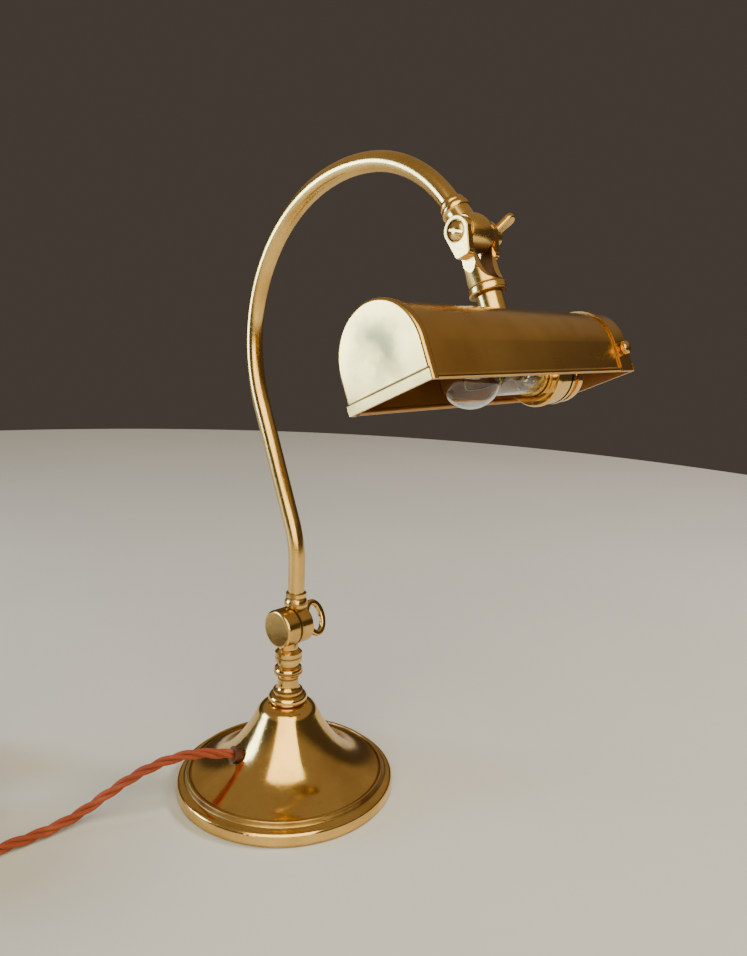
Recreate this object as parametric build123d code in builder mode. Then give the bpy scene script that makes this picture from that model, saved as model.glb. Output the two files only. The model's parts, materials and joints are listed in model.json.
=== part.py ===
from build123d import *

import os
from math import atan2, cos, pi, radians, sin, sqrt, tan

os.makedirs("parts", exist_ok=True)

# Brass desk lamp: weighted trumpet base, swan-neck arm between two friction knuckles, trough shade.
# Millimetres. The origin is the centre of the base's underside, +Z is up, the arm reaches towards -Y
# and both knuckles turn about X.

# Clearances
fit_gap = 0.05
face_gap = 0.1
swing_gap = 0.4

# Base: a spun shell with a rolled rim, a bead, a dished disc and a bell, over an iron weight
base_radius = 75.0
base_height = 63.0
base_wall = 1.6
rim_lift = 0.6
rim_wall = 6.0
rim_round = 3.0
cove_width = 3.6
cove_rise = 3.2
bead_radius = 1.2
dish_reach = 22.0
dish_rise = 3.6
flank_reach = 9.5
flank_drop = 21.5
bell_radius = 20.5
bell_shoulder = 5.5
bell_land = 13.6
weight_land = 6.0
weight_seat = 1.8
pad_thickness = 1.6
pad_inset = 2.2

# Threaded tube that ties the base together
nipple_radius = 5.0
nipple_bore = 3.2
nipple_depth = 12.0
web_bottom = 8.0
web_thickness = 4.0
recess_radius = 16.0
base_washer_radius = 13.0
base_washer_thickness = 1.2
base_nut_flats = 16.0
base_nut_height = 4.5

# Turned neck between the base and the lower knuckle
collar_radius = 13.3
collar_height = 7.2
collar_land = 11.0
neck_foot_radius = 10.0
neck_foot_height = 2.4
neck_waist_radius = 7.0
neck_waist_height = 9.3
neck_ring_radius = 9.8
neck_ring_height = 13.7
neck_ring_width = 5.0
neck_cup_radius = 9.1
neck_cup_height = 23.6
neck_cup_width = 6.7
neck_column_radius = 6.5
knuckle_rise = 48.5

# Lower knuckle: two half drums side by side, clamped by a ring-headed key
drum_radius = 13.2
drum_half = 10.6
drum_round = 2.0
knuckle_washer_radius = 12.0
knuckle_washer_thickness = 0.8
key_radius = 2.5
key_thread = 8.0
key_washer_radius = 6.5
key_washer_thickness = 1.0
key_collar_radius = 5.0
key_collar_length = 3.0
key_loop_width = 18.0
key_loop_height = 26.0
key_loop_bar = 4.2
key_angle = 22.0

# Arm: a bent tube in a ferrule with a bead
tube_radius = 5.5
tube_wall = 1.2
foot_socket = 14.0
foot_bead_radius = 7.8
foot_bead_height = 14.6
foot_collar_radius = 6.9
foot_collar_base = 19.4
foot_height = 23.2
arm_rise = 43.3
heel_radius = 64.5
heel_turn = 23.3
back_length = 81.6
crook_radius = 102.4
crook_turn = 112.2
nose_radius = 77.7
nose_turn = 45.9
reach_length = 21.2

# Upper knuckle: an eye on the arm between the ears of a fork
eye_radius = 10.2
eye_face_radius = 8.0
eye_half = 8.8
eye_neck = 13.5
eye_neck_radius = 7.0
eye_socket = 10.8
ferrule_length = 7.5
ferrule_ring = 7.9
pin_radius = 2.5
ear_thickness = 4.0
ear_radius = 7.6
ear_pad_drop = 11.0
ear_waist = 4.8
ear_corner = 2.4
ear_round = 0.6
fork_drop = 32.0
fork_crotch = 26.4
crotch_ease = 8.0
ear_spare = 1.0
fork_foot_radius = 10.0
fork_foot_height = 4.5
fork_foot_round = 1.2
fork_arm_half = 9.4
fork_arm_waist = 3.7
fork_arm_spread = 10.5
screw_head_radius = 4.9
screw_head_height = 2.4
screw_recess = 1.2
screw_slot = 1.0
pin_washer_radius = 6.0
pin_washer_thickness = 1.0
wing_hub_radius = 5.2
wing_hub_length = 6.4
wing_reach = 11.0
wing_flare = 8.0
wing_thickness = 3.4
wing_angle = -35.0
wing_round = 1.2

# Shade: a trough of bent sheet with a cap on each end, hung from a spigot
spigot_rise = 9.3
shade_tilt = 25.25
shade_length = 173.3
shade_shift = -5.7
shade_half = 24.15
shade_side = 16.75
shade_wall = 0.9
hem_roll = 1.3
cap_wall = 1.0
cap_round = 1.6
left_flange = 2.4
right_flange = 13.0
cap_hem = 4.5
cap_hem_thickness = 0.8
spigot_radius = 7.0
stem_radius = 5.0
stem_bore = 3.4
stem_length = 9.0
stem_nut_flats = 15.0
stem_nut_height = 4.0

# Lampholder on a carrier that two thumb screws hold in the shade
lamp_height = 7.8
carrier_setback = 48.4
carrier_wall = 1.2
carrier_top = 25.5
carrier_leg = 45.4
carrier_leg_width = 8.4
thumb_setback = 6.5
thumb_height = 12.5
thumb_radius = 1.6
thumb_knob_radius = 3.6
thumb_knob_height = 4.4
thumb_nut_flats = 6.0
thumb_nut_height = 2.5
holder_radius = 13.4
holder_bore = 11.4
holder_front = 15.0
holder_flange = 16.0
holder_flange_width = 2.2
holder_rear = 11.0
holder_ring_radius = 16.6
holder_ring_length = 13.2
holder_cap_radius = 15.2
holder_cap_overlap = 4.0
holder_cap_length = 12.0
holder_boss_radius = 8.0
holder_wire_hole = 2.0
block_length = 7.0
block_back = 2.0
plunger_radius = 2.0
plunger_spread = 4.5
plunger_out = 3.0
wire_radius = 1.8
wire_height = 28.3
wire_bend = 4.0
wire_setback = 17.5

# Lamp: a small round bulb with a long neck and a bayonet cap
bulb_radius = 15.0
bulb_reach = 67.0
bulb_neck_radius = 9.6
bulb_neck_angle = 35.0
bulb_glass_wall = 0.8
bulb_cap_radius = 10.9
bulb_cap_length = 18.0
bulb_cap_wall = 0.6
bulb_neck_depth = 6.0
bayonet_radius = 1.0
bayonet_setback = 6.0
lamp_stem_radius = 2.4
lamp_stem_length = 34.0
filament_radius = 6.0
filament_wire = 0.4

# Cord: twisted flex from a bush in the bell, laid on the table, wound up and ending in a plug
cord_radius = 3.5
exit_along_bell = 0.55
exit_azimuth = 164.0
exit_rise = 20.0
bush_radius = 4.6
bush_depth = 5.0
bush_lip_radius = 5.6
bush_lip = 1.2
bush_out = 4.0
coil_centre = (-216.0, 103.0)
coil_inner_radius = 33.0
coil_pitch = 8.8
coil_layer = 7.5
coil_layers = 4
coil_layer_turns = 1.25
coil_climb_turns = 0.5
coil_last_turns = 1.0
coil_floor = 5.0
coil_samples_per_turn = 4
coil_start_angle = -90.0
tie_width = 6.0
tie_wall = 0.9
tie_gap = 0.5
tie_angle = 20.0
lead_run = 20.0
entry_run = 26.0
cord_points = [
    (-75.0, 26.0, 38.4),
    (-93.0, 37.0, 30.0),
    (-110.0, 45.5, 18.5),
    (-127.0, 51.0, 8.5),
    (-146.0, 54.5, 4.2),
    (-170.0, 57.5, 4.2),
]
tail_steps = [
    (0.0, 26.0, 0.0),
    (0.5, 46.0, -7.5),
    (10.5, 69.0, -13.0),
    (32.5, 80.0, -13.5),
    (64.5, 80.0, -13.5),
]
sleeve_length = 20.0
sleeve_radius = 6.0
sleeve_tip_radius = 4.5
plug_width = 46.0
plug_length = 50.0
plug_cover_height = 18.0
plug_base_height = 7.0
plug_corner = 9.0
plug_round = 2.5
pin_spacing = 22.2
pin_setback = 13.0
line_pin = (6.3, 4.0, 17.7)
earth_pin = (4.0, 8.0, 22.7)
plug_screw_radius = 3.2
plug_screw_depth = 1.6

# Levels and places that follow from those sizes
rim_top = rim_lift + rim_wall + rim_round
bead_outer = base_radius - rim_round - cove_width
bead_foot = rim_top + cove_rise
dish_edge = bead_outer - 2 * bead_radius
shoulder_z = base_height - bell_shoulder
land_z = bead_foot - weight_seat
land_inner = dish_edge - weight_land
collar_top = base_height + collar_height
pivot_z = collar_top + knuckle_rise
washer_half = knuckle_washer_thickness / 2
arm_face = washer_half + face_gap
arm_x = arm_face + drum_half / 2
arm_outer = arm_face + drum_half
key_seat = arm_outer + key_washer_thickness + face_gap
tube_bore = tube_radius - tube_wall
ear_inner = eye_half + swing_gap
ear_outer = ear_inner + ear_thickness
ear_middle = ear_inner + ear_thickness / 2
wing_seat = ear_outer + pin_washer_thickness + face_gap
shade_top = shade_side + shade_half
shade_left = shade_shift - shade_length / 2
shade_right = shade_shift + shade_length / 2
pivot_height = shade_top + spigot_rise + fork_drop
carrier_place = shade_right - carrier_setback
thumb_place = shade_right - thumb_setback
wire_turn_place = shade_right - wire_setback
bulb_centre = carrier_place - bulb_reach
cap_offset = cap_wall + fit_gap
bell_curve = [
    (dish_edge, bead_foot),
    (dish_edge - dish_reach, bead_foot + dish_rise),
    (bell_radius + flank_reach, shoulder_z - flank_drop),
    (bell_radius, shoulder_z),
]


def bell_point(t):
    """Radius and height of the bell's outer curve at t, from 0 at the disc to 1 at the shoulder."""
    weights = ((1 - t) ** 3, 3 * t * (1 - t) ** 2, 3 * t**2 * (1 - t), t**3)
    radius = sum(w * point[0] for w, point in zip(weights, bell_curve))
    height = sum(w * point[1] for w, point in zip(weights, bell_curve))
    return radius, height


# The arm's centre line, from its socket in the lower knuckle to the upper pivot
with BuildLine(Plane.YZ.offset(arm_x)) as arm_line:
    rise = Line((0, pivot_z + foot_socket), (0, pivot_z + arm_rise))
    heel = JernArc(rise @ 1, rise % 1, heel_radius, -heel_turn)
    slope = Line(heel @ 1, heel @ 1 + (heel % 1) * back_length)
    crook = JernArc(slope @ 1, slope % 1, crook_radius, crook_turn)
    nose = JernArc(crook @ 1, crook % 1, nose_radius, nose_turn)
    Line(nose @ 1, nose @ 1 + (nose % 1) * (reach_length - eye_socket))

pivot = nose @ 1 + (nose % 1) * reach_length
arm_way = (nose % 1) * -1
side_way = Vector(1, 0, 0)
shade_up = Vector(0, sin(radians(shade_tilt)), cos(radians(shade_tilt)))
shade_back = Vector(0, cos(radians(shade_tilt)), -sin(radians(shade_tilt)))
opening = pivot - shade_up * pivot_height
lamp_axis = Axis(opening + shade_up * lamp_height, side_way)
print("upper pivot", pivot, "opening", opening)


def shade_place(x, back, up):
    """A point given along the shade, towards its back and above its opening."""
    return opening + side_way * x + shade_back * back + shade_up * up


def across(origin):
    """Plane square to X, whose own axes run towards the shade's back and up."""
    return Plane(origin=origin, x_dir=shade_back, z_dir=side_way)


def front(origin):
    """Plane that faces the shade's front, whose own axes run along X and up."""
    return Plane(origin=origin, x_dir=side_way, z_dir=shade_back * -1)


def plan(origin):
    """Plane parallel to the shade's opening, whose own axes run along X and towards the back."""
    return Plane(origin=origin, x_dir=side_way, z_dir=shade_up)


def dome_middle(radius, rise):
    """Point half way along a dome's arc, as distance from the axis and height above the rim."""
    turn = atan2(rise, radius)
    sphere = radius / sin(2 * turn)
    return sphere * sin(turn), rise - sphere * (1 - cos(turn))


def trough_outline(half, low):
    """Closed outline of the trough's section, its straight sides starting at the height low."""
    Line((-half, low), (-half, shade_side))
    ThreePointArc((-half, shade_side), (0, shade_side + half), (half, shade_side))
    Line((half, shade_side), (half, low))
    Line((half, low), (-half, low))


# Base
with BuildPart() as base_shell:
    with BuildSketch(Plane.XZ):
        with BuildLine():
            Line((base_radius - base_wall, rim_lift), (base_radius, rim_lift))
            Line((base_radius, rim_lift), (base_radius, rim_lift + rim_wall))
            TangentArc(
                (base_radius, rim_lift + rim_wall), (base_radius - rim_round, rim_top), tangent=(0, 1)
            )
            Bezier((base_radius - rim_round, rim_top), (bead_outer, rim_top), (bead_outer, bead_foot))
            ThreePointArc(
                (bead_outer, bead_foot),
                (bead_outer - bead_radius, bead_foot + bead_radius),
                (dish_edge, bead_foot),
            )
            Bezier(*bell_curve)
            TangentArc((bell_radius, shoulder_z), (bell_land, base_height), tangent=(-flank_reach, flank_drop))
            Polyline(
                (bell_land, base_height),
                (nipple_radius + fit_gap, base_height),
                (nipple_radius + fit_gap, base_height - base_wall),
                (bell_land - base_wall / 2, base_height - base_wall),
                (bell_radius - base_wall, shoulder_z - base_wall / 2),
            )
            Bezier(
                (bell_radius - base_wall, shoulder_z - base_wall / 2),
                (bell_curve[2][0] - base_wall, bell_curve[2][1] - base_wall),
                (bell_curve[1][0] - base_wall, bell_curve[1][1] - base_wall),
                (land_inner, land_z),
            )
            Polyline(
                (land_inner, land_z),
                (dish_edge, land_z),
                (base_radius - rim_round - base_wall / 2, rim_top - base_wall),
                (base_radius - base_wall, rim_lift + rim_wall),
                (base_radius - base_wall, rim_lift),
            )
        make_face()
    revolve(axis=Axis.Z)
    exit_radius, exit_z = bell_point(exit_along_bell)
    exit_angle = radians(exit_azimuth)
    exit_point = Vector(exit_radius * cos(exit_angle), exit_radius * sin(exit_angle), exit_z)
    exit_flat = cos(radians(exit_rise))
    exit_way = Vector(exit_flat * cos(exit_angle), exit_flat * sin(exit_angle), sin(radians(exit_rise)))
    with BuildSketch(Plane(origin=exit_point, z_dir=exit_way)):
        Circle(bush_radius + fit_gap)
    extrude(amount=bush_depth + 2 * base_wall, both=True, mode=Mode.SUBTRACT)
base_shell.part.label = "base_shell"
export_step(base_shell.part, "parts/base_shell.step")

with BuildPart() as base_weight:
    with BuildSketch(Plane.XZ):
        with BuildLine():
            Polyline(
                (nipple_radius + fit_gap, web_bottom),
                (recess_radius, web_bottom),
                (recess_radius, pad_thickness),
                (base_radius - pad_inset, pad_thickness),
                (base_radius - pad_inset, rim_lift + rim_wall / 2),
                (dish_edge, land_z - weight_seat),
                (dish_edge - weight_seat / 2, land_z),
                (land_inner, land_z),
                (land_inner - weight_land, web_bottom + web_thickness),
                (nipple_radius + fit_gap, web_bottom + web_thickness),
                close=True,
            )
        make_face()
    revolve(axis=Axis.Z)
base_weight.part.label = "base_weight"
export_step(base_weight.part, "parts/base_weight.step")

with BuildPart() as base_pad:
    with BuildSketch():
        Circle(base_radius - pad_inset)
    extrude(amount=pad_thickness)
base_pad.part.label = "base_pad"
export_step(base_pad.part, "parts/base_pad.step")

washer_bottom = web_bottom - base_washer_thickness
nut_bottom = washer_bottom - base_nut_height

with BuildPart() as base_nipple:
    with BuildSketch(Plane.XY.offset(nut_bottom)):
        Circle(nipple_radius)
        Circle(nipple_bore, mode=Mode.SUBTRACT)
    extrude(amount=collar_top + nipple_depth - fit_gap - nut_bottom)
base_nipple.part.label = "base_nipple"
export_step(base_nipple.part, "parts/base_nipple.step")

with BuildPart() as base_washer:
    with BuildSketch(Plane.XY.offset(washer_bottom)):
        Circle(base_washer_radius)
        Circle(nipple_radius + fit_gap, mode=Mode.SUBTRACT)
    extrude(amount=base_washer_thickness)
base_washer.part.label = "base_washer"
export_step(base_washer.part, "parts/base_washer.step")

with BuildPart() as base_nut:
    with BuildSketch(Plane.XY.offset(nut_bottom)):
        RegularPolygon(base_nut_flats / 2, 6, major_radius=False)
        Circle(nipple_radius + fit_gap, mode=Mode.SUBTRACT)
    extrude(amount=base_nut_height)
base_nut.part.label = "base_nut"
export_step(base_nut.part, "parts/base_nut.step")

# Neck
with BuildPart() as neck_collar:
    with BuildSketch(Plane.XZ):
        with BuildLine():
            ThreePointArc(
                (collar_land, base_height),
                (collar_radius, base_height + collar_height / 2),
                (neck_foot_radius, collar_top),
            )
            Polyline(
                (neck_foot_radius, collar_top),
                (nipple_radius + fit_gap, collar_top),
                (nipple_radius + fit_gap, base_height),
                (collar_land, base_height),
            )
        make_face()
    revolve(axis=Axis.Z)
neck_collar.part.label = "neck_collar"
export_step(neck_collar.part, "parts/neck_collar.step")

with BuildPart() as neck_knuckle:
    with BuildSketch(Plane.XZ):
        foot_top = collar_top + neck_foot_height
        waist_z = collar_top + neck_waist_height
        ring_z = collar_top + neck_ring_height
        cup_z = collar_top + neck_cup_height
        cup_top = cup_z + neck_cup_width
        step = neck_ring_radius - neck_waist_radius
        with BuildLine():
            Polyline((0, pivot_z), (0, collar_top), (neck_foot_radius, collar_top), (neck_foot_radius, foot_top))
            Bezier((neck_foot_radius, foot_top), (neck_waist_radius, foot_top), (neck_waist_radius, waist_z))
            Polyline(
                (neck_waist_radius, waist_z),
                (neck_waist_radius, ring_z - step / 4),
                (neck_ring_radius - step / 4, ring_z),
            )
            ThreePointArc(
                (neck_ring_radius - step / 4, ring_z),
                (neck_ring_radius, ring_z + neck_ring_width / 2),
                (neck_ring_radius - step / 4, ring_z + neck_ring_width),
            )
            Polyline(
                (neck_ring_radius - step / 4, ring_z + neck_ring_width),
                (neck_waist_radius, ring_z + neck_ring_width + step / 4),
                (neck_waist_radius, cup_z - step / 2),
                (neck_cup_radius, cup_z),
                (neck_cup_radius, cup_top),
                (neck_column_radius, cup_top + neck_cup_radius - neck_column_radius),
                (neck_column_radius, pivot_z),
                (0, pivot_z),
            )
        make_face()
    revolve(axis=Axis.Z)
    with BuildSketch(Plane.YZ.offset(-washer_half)):
        with Locations((0, pivot_z)):
            Circle(drum_radius)
    extrude(amount=-drum_half)
    fillet(neck_knuckle.edges().group_by(Axis.X)[0], drum_round)
    with BuildSketch(Plane.YZ.offset(-washer_half)):
        with Locations((0, pivot_z)):
            Circle(drum_radius + swing_gap)
    extrude(amount=2 * drum_half, mode=Mode.SUBTRACT)
    with BuildSketch(Plane.YZ.offset(-washer_half)):
        with Locations((0, pivot_z)):
            Circle(key_radius + fit_gap)
    extrude(amount=-key_thread, mode=Mode.SUBTRACT)
    with BuildSketch(Plane.XY.offset(collar_top)):
        Circle(nipple_radius + fit_gap)
    extrude(amount=nipple_depth, mode=Mode.SUBTRACT)
neck_knuckle.part.label = "neck_knuckle"
export_step(neck_knuckle.part, "parts/neck_knuckle.step")

with BuildPart() as knuckle_washer:
    with BuildSketch(Plane.YZ.offset(-washer_half)):
        with Locations((0, pivot_z)):
            Circle(knuckle_washer_radius)
            Circle(key_radius + fit_gap, mode=Mode.SUBTRACT)
    extrude(amount=knuckle_washer_thickness)
knuckle_washer.part.label = "knuckle_washer"
export_step(knuckle_washer.part, "parts/knuckle_washer.step")

# Ring-headed key of the lower knuckle
key_lean = Vector(0, sin(radians(key_angle)), cos(radians(key_angle)))
loop_x = key_seat + key_collar_length + key_loop_width / 2 - key_loop_bar / 3

with BuildPart() as ring_key:
    loop_plane = Plane(origin=(loop_x, 0, pivot_z), x_dir=side_way, z_dir=side_way.cross(key_lean))
    with BuildSketch(loop_plane):
        Ellipse(key_loop_width / 2, key_loop_height / 2)
        Ellipse(key_loop_width / 2 - key_loop_bar, key_loop_height / 2 - key_loop_bar, mode=Mode.SUBTRACT)
    extrude(amount=key_loop_bar / 2, both=True)
    fillet(ring_key.edges().filter_by(GeomType.ELLIPSE), key_loop_bar / 3)
    with BuildSketch(Plane.YZ.offset(-washer_half - key_thread + 2 * face_gap)):
        with Locations((0, pivot_z)):
            Circle(key_radius)
    extrude(amount=key_seat + washer_half + key_thread)
    with BuildSketch(Plane.YZ.offset(key_seat)):
        with Locations((0, pivot_z)):
            Circle(key_collar_radius)
    extrude(amount=key_collar_length)
ring_key.part.label = "ring_key"
export_step(ring_key.part, "parts/ring_key.step")

with BuildPart() as key_washer:
    with BuildSketch(Plane.YZ.offset(arm_outer)):
        with Locations((0, pivot_z)):
            Circle(key_washer_radius)
            Circle(key_radius + fit_gap, mode=Mode.SUBTRACT)
    extrude(amount=key_washer_thickness)
key_washer.part.label = "key_washer"
export_step(key_washer.part, "parts/key_washer.step")

# Arm
arm_post = Axis((arm_x, 0, 0), (0, 0, 1))

with BuildPart() as arm_foot:
    with BuildSketch(Plane.YZ.offset(arm_face)):
        with Locations((0, pivot_z)):
            Circle(drum_radius)
    extrude(amount=drum_half)
    fillet(arm_foot.edges().group_by(Axis.X)[-1], drum_round / 2)
    with BuildSketch(Plane(origin=(arm_x, 0, pivot_z), x_dir=(1, 0, 0), z_dir=(0, -1, 0))):
        bead_half = foot_collar_base - foot_bead_height
        stub = drum_half / 2 - fit_gap
        with BuildLine():
            Polyline((0, foot_height), (0, 0), (stub, 0), (stub, foot_bead_height - bead_half))
            ThreePointArc(
                (stub, foot_bead_height - bead_half),
                (foot_bead_radius, foot_bead_height),
                (foot_collar_radius - tube_wall / 2, foot_collar_base),
            )
            Polyline(
                (foot_collar_radius - tube_wall / 2, foot_collar_base),
                (foot_collar_radius, foot_collar_base + tube_wall / 2),
                (foot_collar_radius, foot_height - tube_wall / 2),
                (foot_collar_radius - tube_wall / 2, foot_height),
                (0, foot_height),
            )
        make_face()
    revolve(axis=arm_post)
    with BuildSketch(Plane.YZ.offset(arm_face)):
        with Locations((0, pivot_z)):
            Circle(drum_radius + swing_gap)
    extrude(amount=-drum_half, mode=Mode.SUBTRACT)
    with BuildSketch(Plane.YZ.offset(arm_face)):
        with Locations((0, pivot_z)):
            Circle(key_radius + fit_gap)
    extrude(amount=drum_half, mode=Mode.SUBTRACT)
    with BuildSketch(Plane.XY.offset(pivot_z + foot_socket)):
        with Locations((arm_x, 0)):
            Circle(tube_radius + fit_gap)
    extrude(amount=foot_height, mode=Mode.SUBTRACT)
arm_foot.part.label = "arm_foot"
export_step(arm_foot.part, "parts/arm_foot.step")

arm_start = Plane(origin=arm_line.line @ 0, z_dir=arm_line.line % 0)

with BuildPart() as arm_tube:
    with BuildSketch(arm_start):
        Circle(tube_radius)
        Circle(tube_bore, mode=Mode.SUBTRACT)
    sweep(path=arm_line.line)
arm_tube.part.label = "arm_tube"
export_step(arm_tube.part, "parts/arm_tube.step")

with BuildPart() as arm_flex:
    with BuildSketch(arm_start):
        Circle(tube_bore - swing_gap)
    sweep(path=arm_line.line)
arm_flex.part.label = "arm_flex"
export_step(arm_flex.part, "parts/arm_flex.step")

eye_plane = Plane(origin=pivot, x_dir=side_way, z_dir=side_way.cross(arm_way))
eye_axis = Axis(pivot, side_way)

with BuildPart() as arm_eye:
    with BuildSketch(eye_plane):
        with BuildLine():
            Polyline((eye_half, eye_face_radius), (eye_half, 0), (-eye_half, 0), (-eye_half, eye_face_radius))
            ThreePointArc((-eye_half, eye_face_radius), (0, eye_radius), (eye_half, eye_face_radius))
        make_face()
    revolve(axis=eye_axis)
    with BuildSketch(Plane(origin=pivot, z_dir=arm_way)):
        Circle(eye_neck_radius)
    extrude(amount=eye_neck)
    with BuildSketch(Plane(origin=pivot + arm_way * eye_socket, z_dir=arm_way)):
        Circle(tube_radius + fit_gap)
    extrude(amount=eye_neck, mode=Mode.SUBTRACT)
    with BuildSketch(across(pivot)):
        Circle(pin_radius + fit_gap)
    extrude(amount=2 * eye_half, both=True, mode=Mode.SUBTRACT)
arm_eye.part.label = "arm_eye"
export_step(arm_eye.part, "parts/arm_eye.step")

with BuildPart() as arm_ferrule:
    with BuildSketch(eye_plane):
        ferrule_split = eye_neck + 0.55 * ferrule_length
        ferrule_end = eye_neck + ferrule_length
        ferrule_bore = tube_radius + fit_gap
        with BuildLine():
            Line((ferrule_bore, eye_neck), (eye_neck_radius, eye_neck))
            ThreePointArc(
                (eye_neck_radius, eye_neck),
                (ferrule_ring, (eye_neck + ferrule_split) / 2),
                (eye_neck_radius, ferrule_split),
            )
            ThreePointArc(
                (eye_neck_radius, ferrule_split),
                (eye_neck_radius + fit_gap, (ferrule_split + ferrule_end) / 2),
                (tube_radius + tube_wall / 2, ferrule_end),
            )
            Polyline(
                (tube_radius + tube_wall / 2, ferrule_end), (ferrule_bore, ferrule_end), (ferrule_bore, eye_neck)
            )
        make_face()
    revolve(axis=Axis(pivot, arm_way))
arm_ferrule.part.label = "arm_ferrule"
export_step(arm_ferrule.part, "parts/arm_ferrule.step")

# Fork and the fastenings of the upper knuckle
crotch_corner = (ear_inner * 0.35, -fork_crotch + crotch_ease / 4)
fork_foot_top = -fork_drop + fork_foot_height
fork_arm_top = -ear_pad_drop - ear_thickness

with BuildPart() as fork_stock:
    with BuildSketch(front(pivot)):
        with BuildLine():
            Polyline(
                (0, -fork_drop),
                (fork_foot_radius, -fork_drop),
                (fork_foot_radius, fork_foot_top),
                (fork_arm_half, fork_arm_top),
                (fork_arm_half, -ear_pad_drop),
                (ear_middle, -ear_radius),
                (ear_inner, -ear_radius),
            )
            Bezier(
                (ear_inner, -ear_radius),
                (ear_inner * 0.72, -ear_radius - crotch_ease / 2),
                (ear_inner * 0.45, -fork_crotch + crotch_ease),
                crotch_corner,
            )
            TangentArc(crotch_corner, (0, -fork_crotch), tangent=(-0.15, -1))
            Line((0, -fork_crotch), (0, -fork_drop))
        make_face()
        mirror(about=Plane.YZ)
    extrude(amount=fork_foot_radius, both=True)
    with BuildSketch(across(pivot)):
        with BuildLine():
            Polyline((0, -ear_radius / 2), (fork_arm_waist, -ear_radius / 2), (fork_arm_waist, fork_arm_top))
            Bezier(
                (fork_arm_waist, fork_arm_top),
                (fork_arm_waist, -fork_crotch + 0.375 * crotch_ease),
                (fork_foot_radius * 0.7, fork_foot_top + ear_spare),
                (fork_foot_radius, fork_foot_top),
            )
            Polyline(
                (fork_foot_radius, fork_foot_top),
                (fork_foot_radius, -fork_drop),
                (0, -fork_drop),
                (0, -ear_radius / 2),
            )
        make_face()
        mirror(about=Plane.YZ)
    extrude(amount=2 * ear_outer, both=True, mode=Mode.INTERSECT)
    with BuildSketch(front(pivot)):
        with BuildLine():
            Line((0, -fork_drop), (fork_foot_radius - fork_foot_round, -fork_drop))
            TangentArc(
                (fork_foot_radius - fork_foot_round, -fork_drop),
                (fork_foot_radius, -fork_drop + fork_foot_round),
                tangent=(1, 0),
            )
            Line(
                (fork_foot_radius, -fork_drop + fork_foot_round),
                (fork_foot_radius, fork_foot_top - fork_foot_round),
            )
            TangentArc(
                (fork_foot_radius, fork_foot_top - fork_foot_round),
                (fork_foot_radius - fork_foot_round, fork_foot_top),
                tangent=(0, 1),
            )
            Polyline(
                (fork_foot_radius - fork_foot_round, fork_foot_top),
                (fork_arm_spread, fork_arm_top),
                (2 * ear_outer, -ear_pad_drop),
                (2 * ear_outer, 0),
                (0, 0),
                (0, -fork_drop),
            )
        make_face()
    revolve(axis=Axis(pivot, shade_up), mode=Mode.INTERSECT)

with BuildPart() as fork:
    add(fork_stock.part)
    for side in (-1, 1):
        with BuildSketch(across(pivot + side_way * side * ear_inner)):
            with BuildLine():
                ThreePointArc((-ear_radius, 0), (0, ear_radius), (ear_radius, 0))
                Line((ear_radius, 0), (ear_waist, -ear_pad_drop))
                TangentArc(
                    (ear_waist, -ear_pad_drop),
                    (ear_waist - ear_corner, -ear_pad_drop - ear_corner),
                    tangent=(0, -1),
                )
                Line(
                    (ear_waist - ear_corner, -ear_pad_drop - ear_corner),
                    (-ear_waist + ear_corner, -ear_pad_drop - ear_corner),
                )
                TangentArc(
                    (-ear_waist + ear_corner, -ear_pad_drop - ear_corner),
                    (-ear_waist, -ear_pad_drop),
                    tangent=(-1, 0),
                )
                Line((-ear_waist, -ear_pad_drop), (-ear_radius, 0))
            make_face()
        extrude(amount=side * ear_thickness)
    ear_faces = fork.faces().sort_by(Axis.X)
    fillet(ear_faces[0].edges() + ear_faces[-1].edges(), ear_round)
    with BuildSketch(across(pivot)):
        Circle(pin_radius + fit_gap)
    extrude(amount=2 * ear_outer, both=True, mode=Mode.SUBTRACT)
    with BuildSketch(across(pivot - side_way * (ear_outer - screw_recess))):
        Circle(screw_head_radius + swing_gap)
    extrude(amount=-2 * screw_recess, mode=Mode.SUBTRACT)
    with BuildSketch(plan(pivot - shade_up * fork_drop)):
        Circle(stem_radius + fit_gap)
    extrude(amount=fork_drop - fork_crotch + ear_spare, mode=Mode.SUBTRACT)
fork.part.label = "fork"
export_step(fork.part, "parts/fork.step")

screw_seat = -ear_outer + screw_recess

with BuildPart() as pivot_screw:
    with BuildSketch(front(pivot)):
        with BuildLine():
            head_top = screw_seat - screw_head_height
            head_rim = screw_seat - screw_head_height * 0.3
            head_middle = dome_middle(screw_head_radius, head_rim - head_top)
            ThreePointArc(
                (head_top, 0), (head_rim - head_middle[1], head_middle[0]), (head_rim, screw_head_radius)
            )
            Polyline(
                (head_rim, screw_head_radius),
                (screw_seat, screw_head_radius),
                (screw_seat, pin_radius),
                (wing_seat + wing_hub_length + pin_radius, pin_radius),
                (wing_seat + wing_hub_length + pin_radius, 0),
                (head_top, 0),
            )
        make_face()
    revolve(axis=eye_axis)
    with BuildSketch(across(pivot + side_way * head_top)):
        Rectangle(2 * screw_head_radius, screw_slot, rotation=30)
    extrude(amount=screw_head_height / 2, mode=Mode.SUBTRACT)
pivot_screw.part.label = "pivot_screw"
export_step(pivot_screw.part, "parts/pivot_screw.step")

with BuildPart() as pivot_washer:
    with BuildSketch(across(pivot + side_way * ear_outer)):
        Circle(pin_washer_radius)
        Circle(pin_radius + fit_gap, mode=Mode.SUBTRACT)
    extrude(amount=pin_washer_thickness)
pivot_washer.part.label = "pivot_washer"
export_step(pivot_washer.part, "parts/pivot_washer.step")

wing_way = Vector(0, sin(radians(wing_angle)), cos(radians(wing_angle)))

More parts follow.
